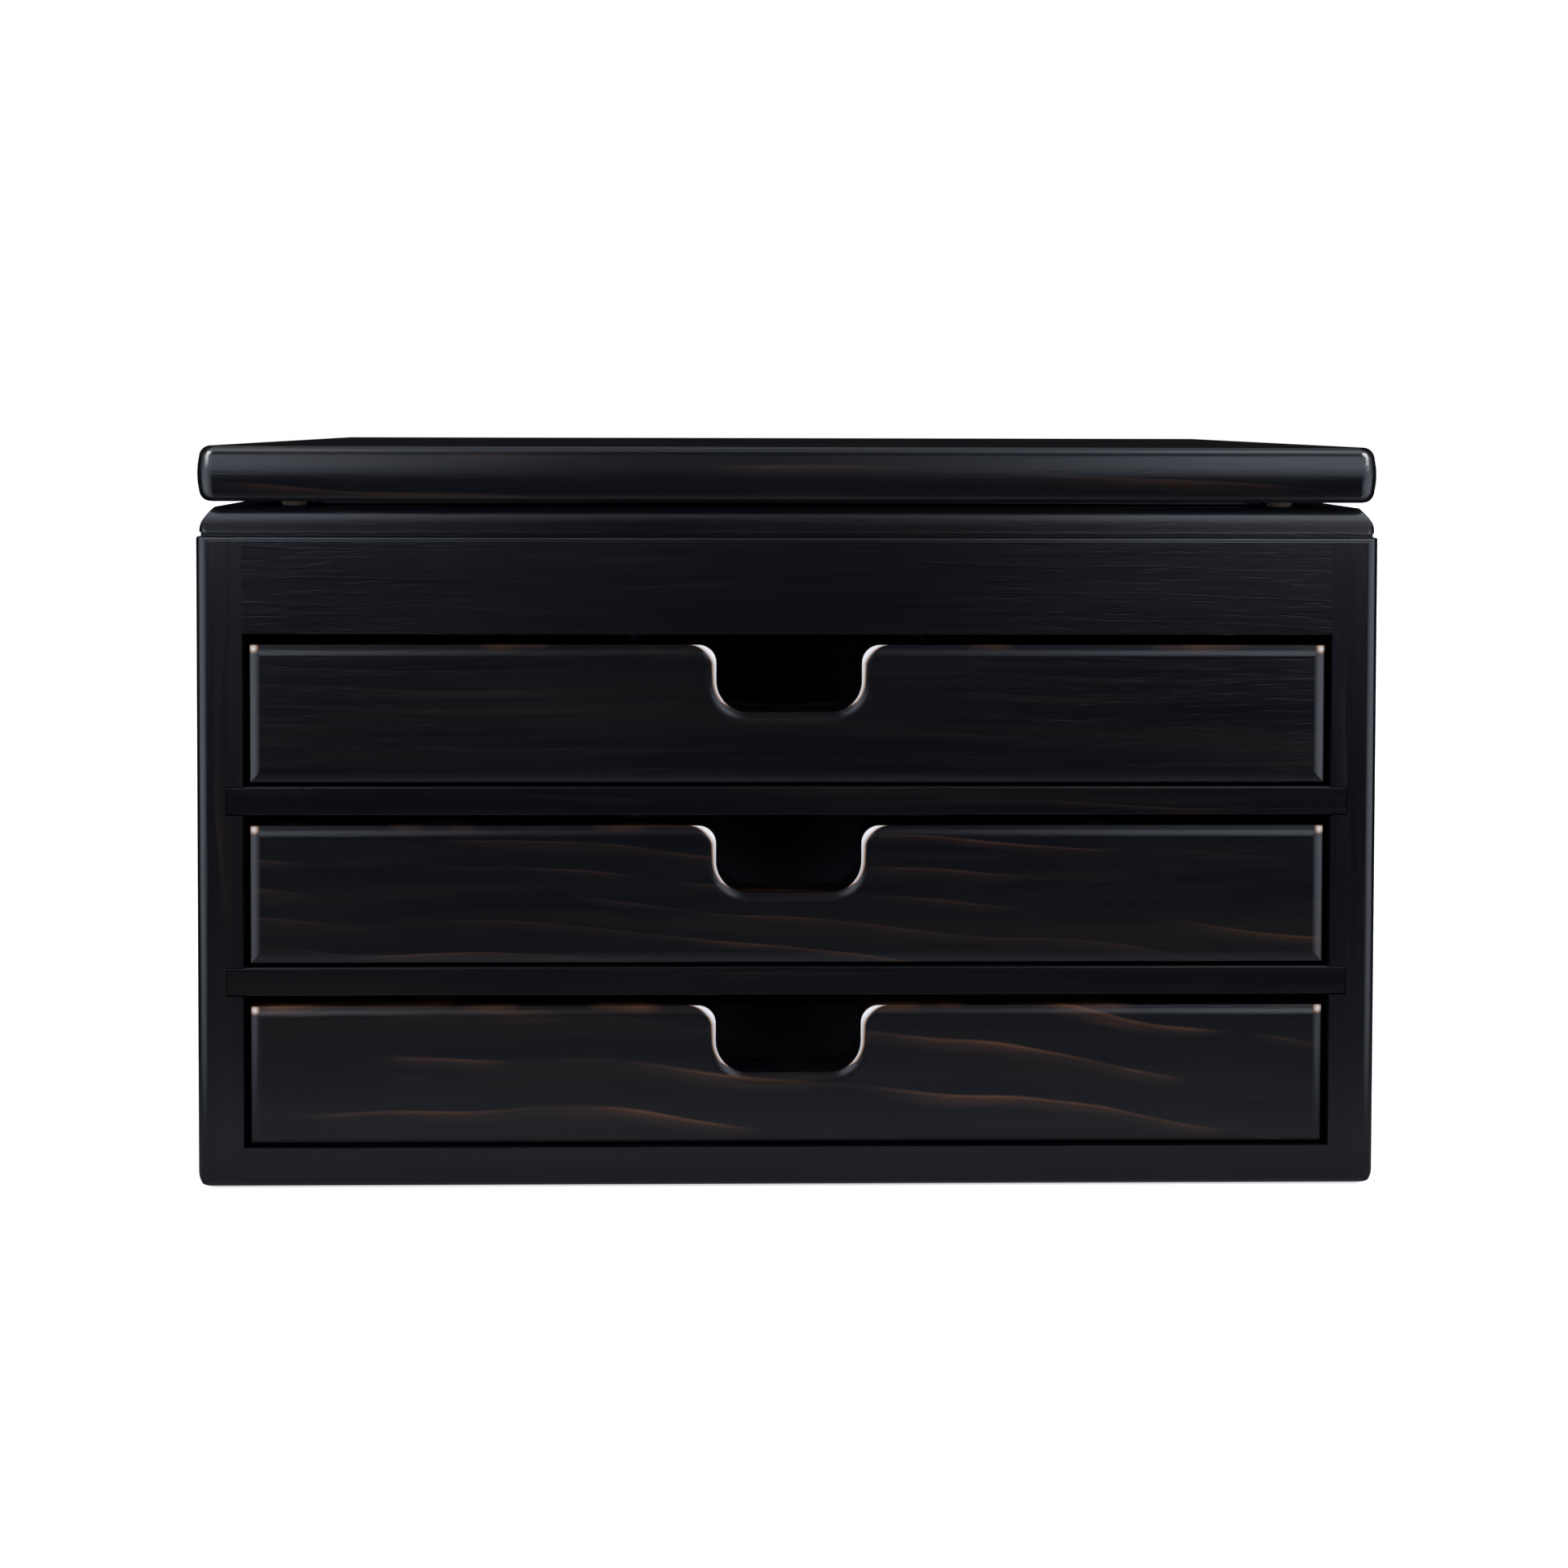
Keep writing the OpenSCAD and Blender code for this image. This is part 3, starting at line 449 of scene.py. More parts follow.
def make_floor():
    """A white table. The chest's own reflections see it lit close to the front, and out to both sides."""
    bpy.ops.mesh.primitive_plane_add(size=8)
    floor = bpy.context.object
    floor.name = "floor"
    material = bpy.data.materials.new("white_table")
    material.use_nodes = True
    tree = material.node_tree
    tree.nodes.clear()
    graph = Graph(tree)
    x, y, _ = graph.split(graph.point)
    beyond_x = graph.math("MAXIMUM", graph.math("SUBTRACT", graph.math("ABSOLUTE", x), cad_high.x), 0.0)
    beyond_y = graph.math("MAXIMUM", graph.math("SUBTRACT", graph.math("ABSOLUTE", y), cad_high.y), 0.0)
    distance = graph.length(beyond_x, beyond_y)

    # To the camera: a white surface that glows, a little less near the chest, where its shadow falls.
    diffuse = graph.node("BsdfDiffuse")
    diffuse.inputs["Color"].default_value = (0.78, 0.78, 0.78, 1)
    glow = graph.ramp(distance, (0.0, 0.66), (0.25, 0.72), (0.9, 1.0))
    seen = graph.node("AddShader")
    tree.links.new(diffuse.outputs[0], seen.inputs[0])
    tree.links.new(emission(graph, glow), seen.inputs[1])

    # In reflections: a pool of light before the front, and a flank of light off each front corner.
    pool_y, flank_y, flank_gain = -0.12, -0.2, 1.7
    pool = graph.ramp(
        distance, (0.0, 0.34), (0.04, 0.28), (0.10, 0.14), (0.25, 0.04), (0.6, 0.01), (1.0, 0.01)
    )
    pool = graph.multiply(pool, graph.ramp(graph.math("DIVIDE", y, pool_y), (0.3, 0.01), (1.0, 1.0)))
    beyond = graph.math("ADD", graph.math("ADD", beyond_x, beyond_y), 0.001)
    slant = graph.math("DIVIDE", beyond_x, beyond)
    flank = graph.multiply(
        graph.ramp(slant, (0.30, 0.0), (0.50, 1.0), (0.85, 1.0), (1.0, 0.0)),
        graph.ramp(distance, (0.0, 0.3), (0.10, 0.6), (0.5, 1.0)),
        graph.ramp(graph.math("DIVIDE", y, flank_y), (0.42, 0.0), (0.80, 1.0)),
        (flank_gain,) * 3,
    )
    mirrored = emission(graph, graph.multiply(graph.brightest(pool, flank), COOL_LIGHT))
    surface = mix_shaders(graph, light_path(graph, "Is Glossy Ray"), seen.outputs[0], mirrored)
    tree.links.new(surface, graph.node("OutputMaterial").inputs["Surface"])
    floor.data.materials.append(material)


def make_world():
    """White to the camera. To the chest, a pale tent, open straight in front and behind."""
    world = bpy.data.worlds.new("studio")
    world.use_nodes = True
    scene.world = world
    tree = world.node_tree
    tree.nodes.clear()
    graph = Graph(tree, "Generated")
    x, y, rise = graph.split(graph.point)

    # The walls. turn is 1 straight ahead of the chest, 0.5 at its sides and 0 behind it.
    facing = graph.math("DIVIDE", y, graph.math("MAXIMUM", graph.length(x, y), 0.001))
    turn = graph.math("ADD", graph.math("MULTIPLY", facing, -0.5), 0.5)
    sides = graph.ramp(
        turn,
        (0.0, 0.004), (0.30, 0.006), (0.44, 0.006), (0.54, 0.30), (0.60, 0.55), (0.66, 0.85),
        (0.76, 0.95), (0.85, 0.75), (0.93, 0.58), (0.965, 0.45), (0.982, 0.15), (0.990, 0.01),
        (1.0, 0.005),
    )
    height = graph.ramp(
        rise, (0.0, 0.9), (0.04, 1.0), (0.34, 0.85), (0.46, 0.25), (0.74, 0.2), (0.86, 0.5), (1.0, 0.5)
    )
    walls = graph.multiply(sides, height)

    # The flaps: a low and a high band on the front half, with a dark gap along the middle plane.
    flap_gain = 1.5
    aside = graph.math("ABSOLUTE", x)
    flaps = graph.ramp(
        aside,
        (0.0, 0.02), (0.10, 0.05), (0.17, 0.36), (0.225, 0.85), (0.28, 1.0), (0.85, 0.6), (1.0, 0.3),
    )
    ahead = graph.ramp(graph.math("ADD", graph.math("MULTIPLY", y, -0.5), 0.5), (0.40, 0.0), (0.55, 1.0))
    bands = graph.ramp(
        rise,
        (0.0, 0.35), (0.07, 0.42), (0.15, 0.72), (0.36, 0.72), (0.46, 0.12), (0.74, 0.12), (0.86, 1.0),
        (0.985, 1.0), (1.0, 0.6),
    )
    flaps = graph.multiply(flaps, ahead, bands, (flap_gain,) * 3)

    roof = graph.ramp(rise, (0.84, 0.0), (0.90, 0.36), (0.97, 0.36), (1.0, 0.15))
    tent = graph.multiply(graph.brightest(walls, flaps, roof), COOL_LIGHT)
    camera_ray = light_path(graph, "Is Camera Ray")
    background = graph.node("Background")
    white = (1.0, 1.0, 1.0)
    graph.feed(background.inputs["Color"], graph.mix(camera_ray, tent, white))
    graph.feed(background.inputs["Strength"], graph.mix(camera_ray, (TENT_RADIANCE,) * 3, white))
    tree.links.new(background.outputs[0], graph.node("OutputWorld").inputs["Surface"])


def softbox(name, azimuth, elevation, distance, size, radiance, tint=(1, 1, 1)):
    """A rectangular light that faces the chest. Azimuth 0 is in front, positive to the right."""
    aim_z = 90 * MM
    data = bpy.data.lights.new(name, "AREA")
    data.shape = "RECTANGLE"
    data.size, data.size_y = size
    data.color = tint
    light = bpy.data.objects.new(name, data)
    turn, lift = math.radians(azimuth), math.radians(elevation)
    away = Vector((math.sin(turn) * math.cos(lift), -math.cos(turn) * math.cos(lift), math.sin(lift)))
    light.location = Vector((0, 0, aim_z)) + away * distance
    light.rotation_euler = away.to_track_quat("Z", "Y").to_euler()
    data.energy = radiance * math.pi * data.size * data.size_y
    light.visible_camera = False
    scene.collection.objects.link(light)


def make_lights():
    softbox("left_box", -55, 30, 1.1, (0.34, 0.62), 14, (0.93, 0.96, 1.0))
    softbox("right_box", 55, 30, 1.1, (0.34, 0.62), 14, (0.97, 0.975, 1.0))
    softbox("back_box", 180, 55, 1.3, (1.2, 0.5), 0.3)


# ---------- pieces ----------

def finish_piece(obj, material, body, slot, *replaced):
    """Gives a modelled piece its material, its body and the CAD solids that it stands for."""
    obj.data.materials.clear()
    obj.data.materials.append(material)
    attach(obj, body)
    if replaced:
        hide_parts(*replaced)


def object_from(name, mesh_bm, smooth=True):
    """Makes an object of the mesh and frees mesh_bm."""
    mesh = bpy.data.meshes.new(name)
    mesh_bm.to_mesh(mesh)
    mesh_bm.free()
    for face in mesh.polygons:
        face.use_smooth = smooth
    obj = bpy.data.objects.new(name, mesh)
    scene.collection.objects.link(obj)
    return obj


def steps_between(low, high, cell, edge):
    """Positions from low to high: close together near both ends, where the edges are rounded."""
    ends = [0, 0.35 * edge, 0.8 * edge, 1.6 * edge]
    inner_low, inner_high = low + ends[-1], high - ends[-1]
    if inner_high <= inner_low:
        return [low + (high - low) * k / 4 for k in range(5)]
    count = max(1, math.ceil((inner_high - inner_low) / cell))
    middle = [inner_low + (inner_high - inner_low) * k / count for k in range(1, count)]
    return [low + e for e in ends] + middle + [high - e for e in reversed(ends)]


def box_shell(xs, ys, zs):
    """The closed surface of a box, divided at the given positions."""
    shell = bmesh.new()
    verts = {}

    def face(*corners):
        for i, j, k in corners:
            if (i, j, k) not in verts:
                verts[i, j, k] = shell.verts.new((xs[i], ys[j], zs[k]))
        shell.faces.new([verts[corner] for corner in corners])

    nx, ny, nz = len(xs) - 1, len(ys) - 1, len(zs) - 1
    for i in range(nx):
        for j in range(ny):
            face((i, j, 0), (i, j + 1, 0), (i + 1, j + 1, 0), (i + 1, j, 0))
            face((i, j, nz), (i + 1, j, nz), (i + 1, j + 1, nz), (i, j + 1, nz))
    for i in range(nx):
        for k in range(nz):
            face((i, 0, k), (i + 1, 0, k), (i + 1, 0, k + 1), (i, 0, k + 1))
            face((i, ny, k), (i, ny, k + 1), (i + 1, ny, k + 1), (i + 1, ny, k))
    for j in range(ny):
        for k in range(nz):
            face((0, j, k), (0, j, k + 1), (0, j + 1, k + 1), (0, j + 1, k))
            face((nx, j, k), (nx, j + 1, k), (nx, j + 1, k + 1), (nx, j, k + 1))
    return shell


def wrapped_board(name, low, high, edge, cell=4 * MM, crown=0.12 * MM, seed=0.0, flat_below=False):
    """A thin board wrapped in fabric: rounded edges, and faces a little fuller in the middle.

    edge is the radius of the edges, cell the size of the mesh's cells and crown the fullness.
    """
    low, high = Vector(low), Vector(high)
    shell = box_shell(*(steps_between(low[k], high[k], cell, edge) for k in range(3)))
    middle, half = (low + high) / 2, (high - low) / 2
    round_r = [min(edge, half[k]) for k in range(3)]
    ripples_per_metre = 90
    for vert in shell.verts:
        p = vert.co - middle
        core = Vector(max(-half[k] + round_r[k], min(half[k] - round_r[k], p[k])) for k in range(3))
        over = Vector((p[k] - core[k]) / round_r[k] for k in range(3))
        length = over.length
        if length > TINY:
            over *= max(abs(c) for c in over) / length
        rounded = core + Vector(over[k] * round_r[k] for k in range(3))
        fullness = 1.0
        for k in range(3):
            if half[k] > 3 * edge:
                fullness *= 1 - abs(p[k] / half[k]) ** 6
        ripple = noise.noise(vert.co * ripples_per_metre + Vector((seed, 0, 0)))
        pull = crown * (1 - fullness) + crown * 0.5 * (0.5 + 0.5 * ripple)
        if length > TINY and not (flat_below and p.z < -half.z * 0.98):
            rounded -= over.normalized() * pull
        vert.co = middle + rounded
    return object_from(name, shell)


def mark_sharp(obj, angle):
    """Shades the edges that turn by more than angle degrees as sharp."""
    obj.data.set_sharp_from_angle(angle=math.radians(angle))


def cut_box(obj, low, high):
    """Cuts a box out of obj."""
    cutter_bm = box_shell(*([low[k], high[k]] for k in range(3)))
    bmesh.ops.recalc_face_normals(cutter_bm, faces=cutter_bm.faces)
    cutter = object_from("cutter", cutter_bm, smooth=False)
    modifier = obj.modifiers.new("cut", "BOOLEAN")
    modifier.operation = "DIFFERENCE"
    modifier.solver = "EXACT"
    modifier.object = cutter
    apply_modifiers(obj)
    mark_sharp(obj, 50)
    bpy.data.objects.remove(cutter)


def apply_modifiers(obj):
    """Puts the mesh that obj's modifiers make in place of its own."""
    graph = bpy.context.evaluated_depsgraph_get()
    graph.update()
    made = bpy.data.meshes.new_from_object(obj.evaluated_get(graph))
    old = obj.data
    obj.modifiers.clear()
    obj.data = made
    bpy.data.meshes.remove(old)


def circle(segments):
    """The (cosine, sine) pairs of evenly spaced angles."""
    angles = [2 * math.pi * k / segments for k in range(segments)]
    return [(math.cos(angle), math.sin(angle)) for angle in angles]


def lathe(name, centre, profile, segments=40):
    """Turns (radius, height) points about a vertical axis through centre."""
    turned = bmesh.new()
    rings = []
    for radius, height in profile:
        if radius < TINY:
            rings.append([turned.verts.new(Vector(centre) + Vector((0, 0, height)))])
            continue
        rings.append([
            turned.verts.new(Vector(centre) + Vector((radius * cosine, radius * sine, height)))
            for cosine, sine in circle(segments)
        ])
    for lower, upper in zip(rings, rings[1:]):
        for k in range(segments):
            m = (k + 1) % segments
            corners = [lower[k % len(lower)], lower[m % len(lower)]]
            corners += [upper[m % len(upper)], upper[k % len(upper)]]
            turned.faces.new(list(dict.fromkeys(corners)))
    bmesh.ops.recalc_face_normals(turned, faces=turned.faces)
    return object_from(name, turned)


def close_loops(mesh_bm, loops):
    """Joins a stack of loops of vertices into one closed surface."""
    for first, second in zip(loops, loops[1:]):
        for k in range(len(first)):
            m = (k + 1) % len(first)
            mesh_bm.faces.new([first[k], first[m], second[m], second[k]])
    mesh_bm.faces.new(loops[0])
    mesh_bm.faces.new(loops[-1])
    bmesh.ops.recalc_face_normals(mesh_bm, faces=mesh_bm.faces)


# ---------- wooden parts ----------

EASED_EDGE = 0.35 * MM


def ease_edges(obj, width=EASED_EDGE):
    """Breaks the sharp edges of a plain board, by modifiers only, so the CAD mesh stays as it is."""
    weld = obj.modifiers.new("weld", "WELD")
    weld.merge_threshold = 0.002 * MM
    bevel = obj.modifiers.new("eased", "BEVEL")
    bevel.width = width
    bevel.segments = 2
    bevel.limit_method = "ANGLE"
    bevel.angle_limit = math.radians(40)
    bevel.harden_normals = True


def give(node, material):
    """Puts a material on a CAD object."""
    obj = nodes[node]
    obj.data.materials.clear()
    obj.data.materials.append(material)


def finish_cabinet():
    side = {"pith": (0.15, 0.0), "drift": (0.01, 0.015), "ring_gap": 7 * MM, "streaks": 0.10}
    give("left_side_panel", ebony("ebony_left_side", "Z", 1.3, **side))
    give("right_side_panel", ebony("ebony_right_side", "Z", 4.1, **side))
    give("bottom_board", ebony("ebony_bottom", "X", 7.7, streaks=0.06))
    give("lower_shelf", ebony("ebony_lower_shelf", "X", 9.2, streaks=0.10, coat=THIN_COAT))
    give("upper_shelf", ebony("ebony_upper_shelf", "X", 11.6, streaks=0.12, coat=THIN_COAT))
    give("front_fascia", ebony("ebony_fascia", "X", 13.9, streaks=0.04, tones=SMOOTH_TONES))
    give("back_top_rail", ebony("ebony_back_rail", "X", 17.3))
    rims = (
        ("rim_front", "X", 21.5), ("rim_back", "X", 23.1), ("rim_left", "Y", 25.9), ("rim_right", "Y", 28.4)
    )
    for node, grain, seed in rims:
        give(node, ebony("ebony_" + node, grain, seed))
    give("back_panel", inner_wood("inner_back", "X", 31.0))
    give("tray_floor", inner_wood("inner_tray_floor", "X", 33.5))
    ease_edges(nodes["back_panel"])


def finish_lid():
    top = {"ring_gap": 9 * MM, "pith": (0.01, 0.12), "drift": (0.02, 0.03), "streaks": 0.22}
    give("lid_board", ebony("ebony_lid", "X", 41.2, **top))
    give("mirror_frame", ebony("ebony_mirror_frame", "X", 43.7, streaks=0.15))
    ease_edges(nodes["mirror_frame"], 0.5 * MM)


def outline_of(node):
    """The notch, top corners and face of a drawer front, measured on its CAD mesh."""
    low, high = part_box(node)
    points = [vert.co for vert in nodes[node].data.vertices]
    inside_notch = 10 * MM
    floor_z = max(p.z for p in points if abs(p.x) < inside_notch)
    notch_x = min(abs(p.x) for p in points if p.z > floor_z + NOTCH_CORNER_R)
    return {
        "notch_x": notch_x, "floor_z": floor_z, "top_z": high.z, "corner_x": high.x - EASING_W,
        "face_y": low.y,
    }


def finish_drawers():
    grain = {
        "bottom": {"seed": 52.6, "ring_gap": 12 * MM, "pith": (-0.055, 0.004), "drift": (0.02, 0.075),
                   "wave": 14 * MM, "streaks": 0.8, "bend": 0.32},
        "middle": {"seed": 57.9, "ring_gap": 7 * MM, "pith": (-0.05, 0.02), "drift": (0.02, 0.06),
                   "wave": 12 * MM, "streaks": 0.35, "bend": 0.15},
        "top": {"seed": 63.4, "ring_gap": 4 * MM, "pith": (-0.04, 0.10), "drift": (0.01, 0.012),
                "wave": 5 * MM, "streaks": 0.1},
    }
    for index, name in enumerate(DRAWERS):
        prefix = "drawer_" + name + "_"
        front = outline_of(prefix + "front")
        stained = ebony("ebony_" + name + "_front", "X", front=front, **grain[name])
        give(prefix + "front", stained)
        seed = 70 + 5.3 * index
        along = inner_wood("inner_" + name + "_sides", "Y", seed)
        across = inner_wood("inner_" + name + "_boards", "X", seed + 2.1)
        boards = (("left_side", along), ("right_side", along), ("back", across), ("floor", across))
        for part, material in boards:
            give(prefix + part, material)
            ease_edges(nodes[prefix + part])


# ---------- velvet linings and dividers ----------

LINING_EDGE = 0.5 * MM


def line_drawers(cloth):
    for index, name in enumerate(DRAWERS):
        body = "drawer_" + name
        low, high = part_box(body + "_lining")
        lining = wrapped_board(body + "_velvet", low, high, LINING_EDGE, seed=index * 3.0, flat_below=True)
        finish_piece(lining, cloth, body, "lining_velvet", body + "_lining")


def divider_board(name, low, high, seed, slots=()):
    """A velvet-wrapped divider, notched where it crosses another one."""
    board = wrapped_board(name, low, high, 1.3 * MM, cell=5 * MM, crown=0.15 * MM, seed=seed)
    for slot_low, slot_high in slots:
        cut_box(board, slot_low, slot_high)
    return board


def wrap_divider(name, node, body, cloth, slots=()):
    """Puts a velvet-wrapped divider in place of a CAD divider."""
    low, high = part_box(node)
    divider = divider_board(name, low, high, low.x * 50, slots)
    finish_piece(divider, cloth, body, "lining_velvet", node)


def lap_slots(low, high, crossing, along, from_top):
    """The notch of a half-lapped divider at each crossing position, as a box.

    along is the axis on which the divider runs, 0 for X and 1 for Y.
    """
    play, overrun = 0.15 * MM, 2 * MM
    across = 1 - along
    half_t = (high[across] - low[across]) / 2 + play
    middle_z = (low[2] + high[2]) / 2
    slots = []
    for position in crossing:
        slot_low, slot_high = [0, 0, 0], [0, 0, 0]
        slot_low[along], slot_high[along] = position - half_t, position + half_t
        slot_low[across], slot_high[across] = low[across] - overrun, high[across] + overrun
        if from_top:
            slot_low[2], slot_high[2] = middle_z, high[2] + overrun
        else:
            slot_low[2], slot_high[2] = low[2] - overrun, middle_z + play
        slots.append((slot_low, slot_high))
    return slots


def join_pieces(name, objects):
    """One object that holds several closed meshes."""
    joined = bmesh.new()
    for obj in objects:
        joined.from_mesh(obj.data)
        bpy.data.objects.remove(obj)
    return object_from(name, joined)


def divide_drawers(cloth):
    wrap_divider("drawer_bottom_long_velvet", "drawer_bottom_long_divider", "drawer_bottom", cloth)

    long_low, long_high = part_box("drawer_top_long_divider")
    thickness = long_high.y - long_low.y
    middle_y = (long_low.y + long_high.y) / 2
    for drawer, crossing in (("middle", []), ("top", [middle_y])):
        node = f"drawer_{drawer}_cross_dividers"
        low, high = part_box(node)
        boards = []
        for x in (low.x, high.x - thickness):
            board_low, board_high = (x, low.y, low.z), (x + thickness, high.y, high.z)
            slots = lap_slots(board_low, board_high, crossing, 1, from_top=False)
            boards.append(divider_board(f"cross_{x:.3f}", board_low, board_high, x * 40, slots))
        pair = join_pieces(f"drawer_{drawer}_cross_velvet", boards)
        finish_piece(pair, cloth, "drawer_" + drawer, "lining_velvet", node)

    low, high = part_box("drawer_top_cross_dividers")
    crossing = [low.x + thickness / 2, high.x - thickness / 2]
    slots = lap_slots(long_low, long_high, crossing, 0, from_top=True)
    wrap_divider("drawer_top_long_velvet", "drawer_top_long_divider", "drawer_top", cloth, slots)


def line_tray(cloth):
    low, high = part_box("tray_floor_lining")
    thick = high.z - low.z
    floor = wrapped_board("tray_floor_velvet", low, high, LINING_EDGE, seed=20.0, flat_below=True)
    finish_piece(floor, cloth, "cabinet", "lining_velvet", "tray_floor_lining")

    low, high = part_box("tray_wall_lining")
    clear = 0.1 * MM
    boards = []
    for y in (low.y, high.y - thick):
        wall_low, wall_high = (low.x, y, low.z), (high.x, y + thick, high.z)
        boards.append(wrapped_board("wall", wall_low, wall_high, LINING_EDGE, seed=y * 70))
    for x in (low.x, high.x - thick):
        wall_low = (x, low.y + thick + clear, low.z)
        wall_high = (x + thick, high.y - thick - clear, high.z)
        boards.append(wrapped_board("wall", wall_low, wall_high, LINING_EDGE, seed=x * 70))
    walls = join_pieces("tray_wall_velvet", boards)
    finish_piece(walls, cloth, "cabinet", "lining_velvet", "tray_wall_lining")

    wrap_divider("ring_section_velvet", "ring_divider", "cabinet", cloth)
    long_low, long_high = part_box("tray_long_divider")
    cross_low, cross_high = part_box("tray_cross_divider")
    cross_x, long_y = (cross_low.x + cross_high.x) / 2, (long_low.y + long_high.y) / 2
    slots = lap_slots(long_low, long_high, [cross_x], 0, from_top=True)
    wrap_divider("tray_long_velvet", "tray_long_divider", "cabinet", cloth, slots)
    slots = lap_slots(cross_low, cross_high, [long_y], 1, from_top=False)
    wrap_divider("tray_cross_velvet", "tray_cross_divider", "cabinet", cloth, slots)


# ---------- ring rolls ----------

def roll_shell(low, high, inset):
    """The start of a roll: a closed tube along Y, inset from its CAD solid."""
    segments, rings = 40, 60
    middle = (low + high) / 2
    radius = (high.x - low.x) / 2 - inset
    start_y, end_y = low.y + inset, high.y - inset

    # Each loop's place along the roll and its share of the radius. The flat ends have loops inside them.
    end_shares = [0.25, 0.6, 0.86, 0.97]
    places = [(0.0, share) for share in end_shares]
    places += [(k / rings, 1.0) for k in range(rings + 1)]
    places += [(1.0, share) for share in reversed(end_shares)]
    tube = bmesh.new()
    loops = []
    for along, share in places:
        y = start_y + (end_y - start_y) * along
        loops.append([
            tube.verts.new((middle.x + radius * share * cosine, y, middle.z + radius * share * sine))
            for cosine, sine in circle(segments)
        ])
    close_loops(tube, loops)
    return tube


def inflate(obj, most):
    """Fills a closed cover by cloth simulation under pressure. No point moves further than most."""
    first, last = 1, 20
    remesh = obj.modifiers.new("remesh", "REMESH")
    remesh.mode = "VOXEL"
    remesh.voxel_size = 1.8 * MM
    apply_modifiers(obj)
    start = [v.co.copy() for v in obj.data.vertices]
    modifier = obj.modifiers.new("cloth", "CLOTH")
    settings = modifier.settings
    settings.use_pressure = True
    settings.uniform_pressure_force = 4
    settings.effector_weights.gravity = 0
    settings.quality = 4
    modifier.point_cache.frame_start, modifier.point_cache.frame_end = first, last
    for step in range(first, last + 1):
        scene.frame_set(step)
    apply_modifiers(obj)
    scene.frame_set(first)
    for vert, rest in zip(obj.data.vertices, start):
        move = vert.co - rest
        if move.length > most:
            vert.co = rest + move.normalized() * most


def dress_roll(obj, low, high, seed):
    """Foam lumps, the stitched seam near each end and the gathers round it, inside the CAD solid."""
    middle = (low + high) / 2
    radius = (high.x - low.x) / 2
    seam_inset, seam_w, seam_depth = 2.6 * MM, 0.55 * MM, 0.5 * MM
    lump_h, dent_depth, gather_h, margin = 0.22 * MM, 0.16 * MM, 0.22 * MM, 0.02 * MM
    gather_reach = seam_inset + 3 * MM
    for vert in obj.data.vertices:
        p = vert.co
        radial = Vector((p.x - middle.x, 0, p.z - middle.z))
        r = radial.length
        if r < TINY:
            continue
        outward = radial / r
        angle = math.atan2(outward.z, outward.x)
        end_gap = min(p.y - low.y, high.y - p.y)
        lump = lump_h * noise.noise(Vector((seed * 9.1, p.y * 38, angle * 0.8)))
        lump -= dent_depth * (0.5 + 0.5 * noise.noise(Vector((seed * 3.3, p.y * 140, angle * 1.7))))
        groove = seam_depth * math.exp(-((end_gap - seam_inset) / seam_w) ** 2)
        gather = 0.0
        if end_gap < gather_reach:
            fade = 1 - end_gap / gather_reach
            gather = gather_h * fade * math.sin(16 * angle + 2 * math.sin(3 * angle + seed))
        share = min(1.0, r / (0.6 * radius))
        new_r = min(r + share * (lump - groove + gather), radius - margin)
        p.x, p.z = middle.x + outward.x * new_r, middle.z + outward.z * new_r
        p.z = max(p.z, low.z + margin)
        p.y = max(low.y, min(high.y, p.y))


def make_ring_rolls(cloth):
    """Five padded rolls. Each starts inset from its CAD solid and swells by no more than the inset."""
    inset = 0.7 * MM
    for index in range(1, 6):
        node = f"ring_roll_{index}"
        low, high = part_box(node)
        roll = object_from(f"ring_roll_velvet_{index}", roll_shell(low, high, inset))
        inflate(roll, inset)
        smoother = roll.modifiers.new("smooth", "SUBSURF")
        smoother.levels = smoother.render_levels = 1
        apply_modifiers(roll)
        dress_roll(roll, low, high, float(index))
        for face in roll.data.polygons:
            face.use_smooth = True
        finish_piece(roll, cloth, "cabinet", "ring_roll_velvet", node)


# ---------- felt, hinges, mirror ----------

def make_felts():
    low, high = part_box("base_felt")
    pressed = felt("pressed_felt", (0.006, 0.006, 0.007), (0.022, 0.022, 0.024))
    pad = wrapped_board("base_felt_pad", low, high, 0.4 * MM, cell=8 * MM, crown=0.06 * MM, flat_below=True)
    finish_piece(pad, pressed, "cabinet", "base_felt", "base_felt")

    low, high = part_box("lid_bumpers")
    radius = (high.y - low.y) / 2
    middle_y = (low.y + high.y) / 2
    top, bottom = high.z, low.z
    profile = [
        (0, top), (radius * 0.98, top), (radius, top - 0.25 * MM), (radius * 0.97, bottom + 0.42 * MM),
        (radius * 0.86, bottom + 0.16 * MM), (radius * 0.6, bottom + 0.04 * MM), (0, bottom),
    ]
    dots = [lathe("dot", (x, middle_y, 0), profile) for x in (low.x + radius, high.x - radius)]
    bumpers = join_pieces("felt_bumpers", dots)
    brown = felt("bumper_felt", (0.028, 0.017, 0.011), (0.06, 0.04, 0.027))
    finish_piece(bumpers, brown, "lid", "bumper_felt", "lid_bumpers")


SCREW_INSET = 5 * MM


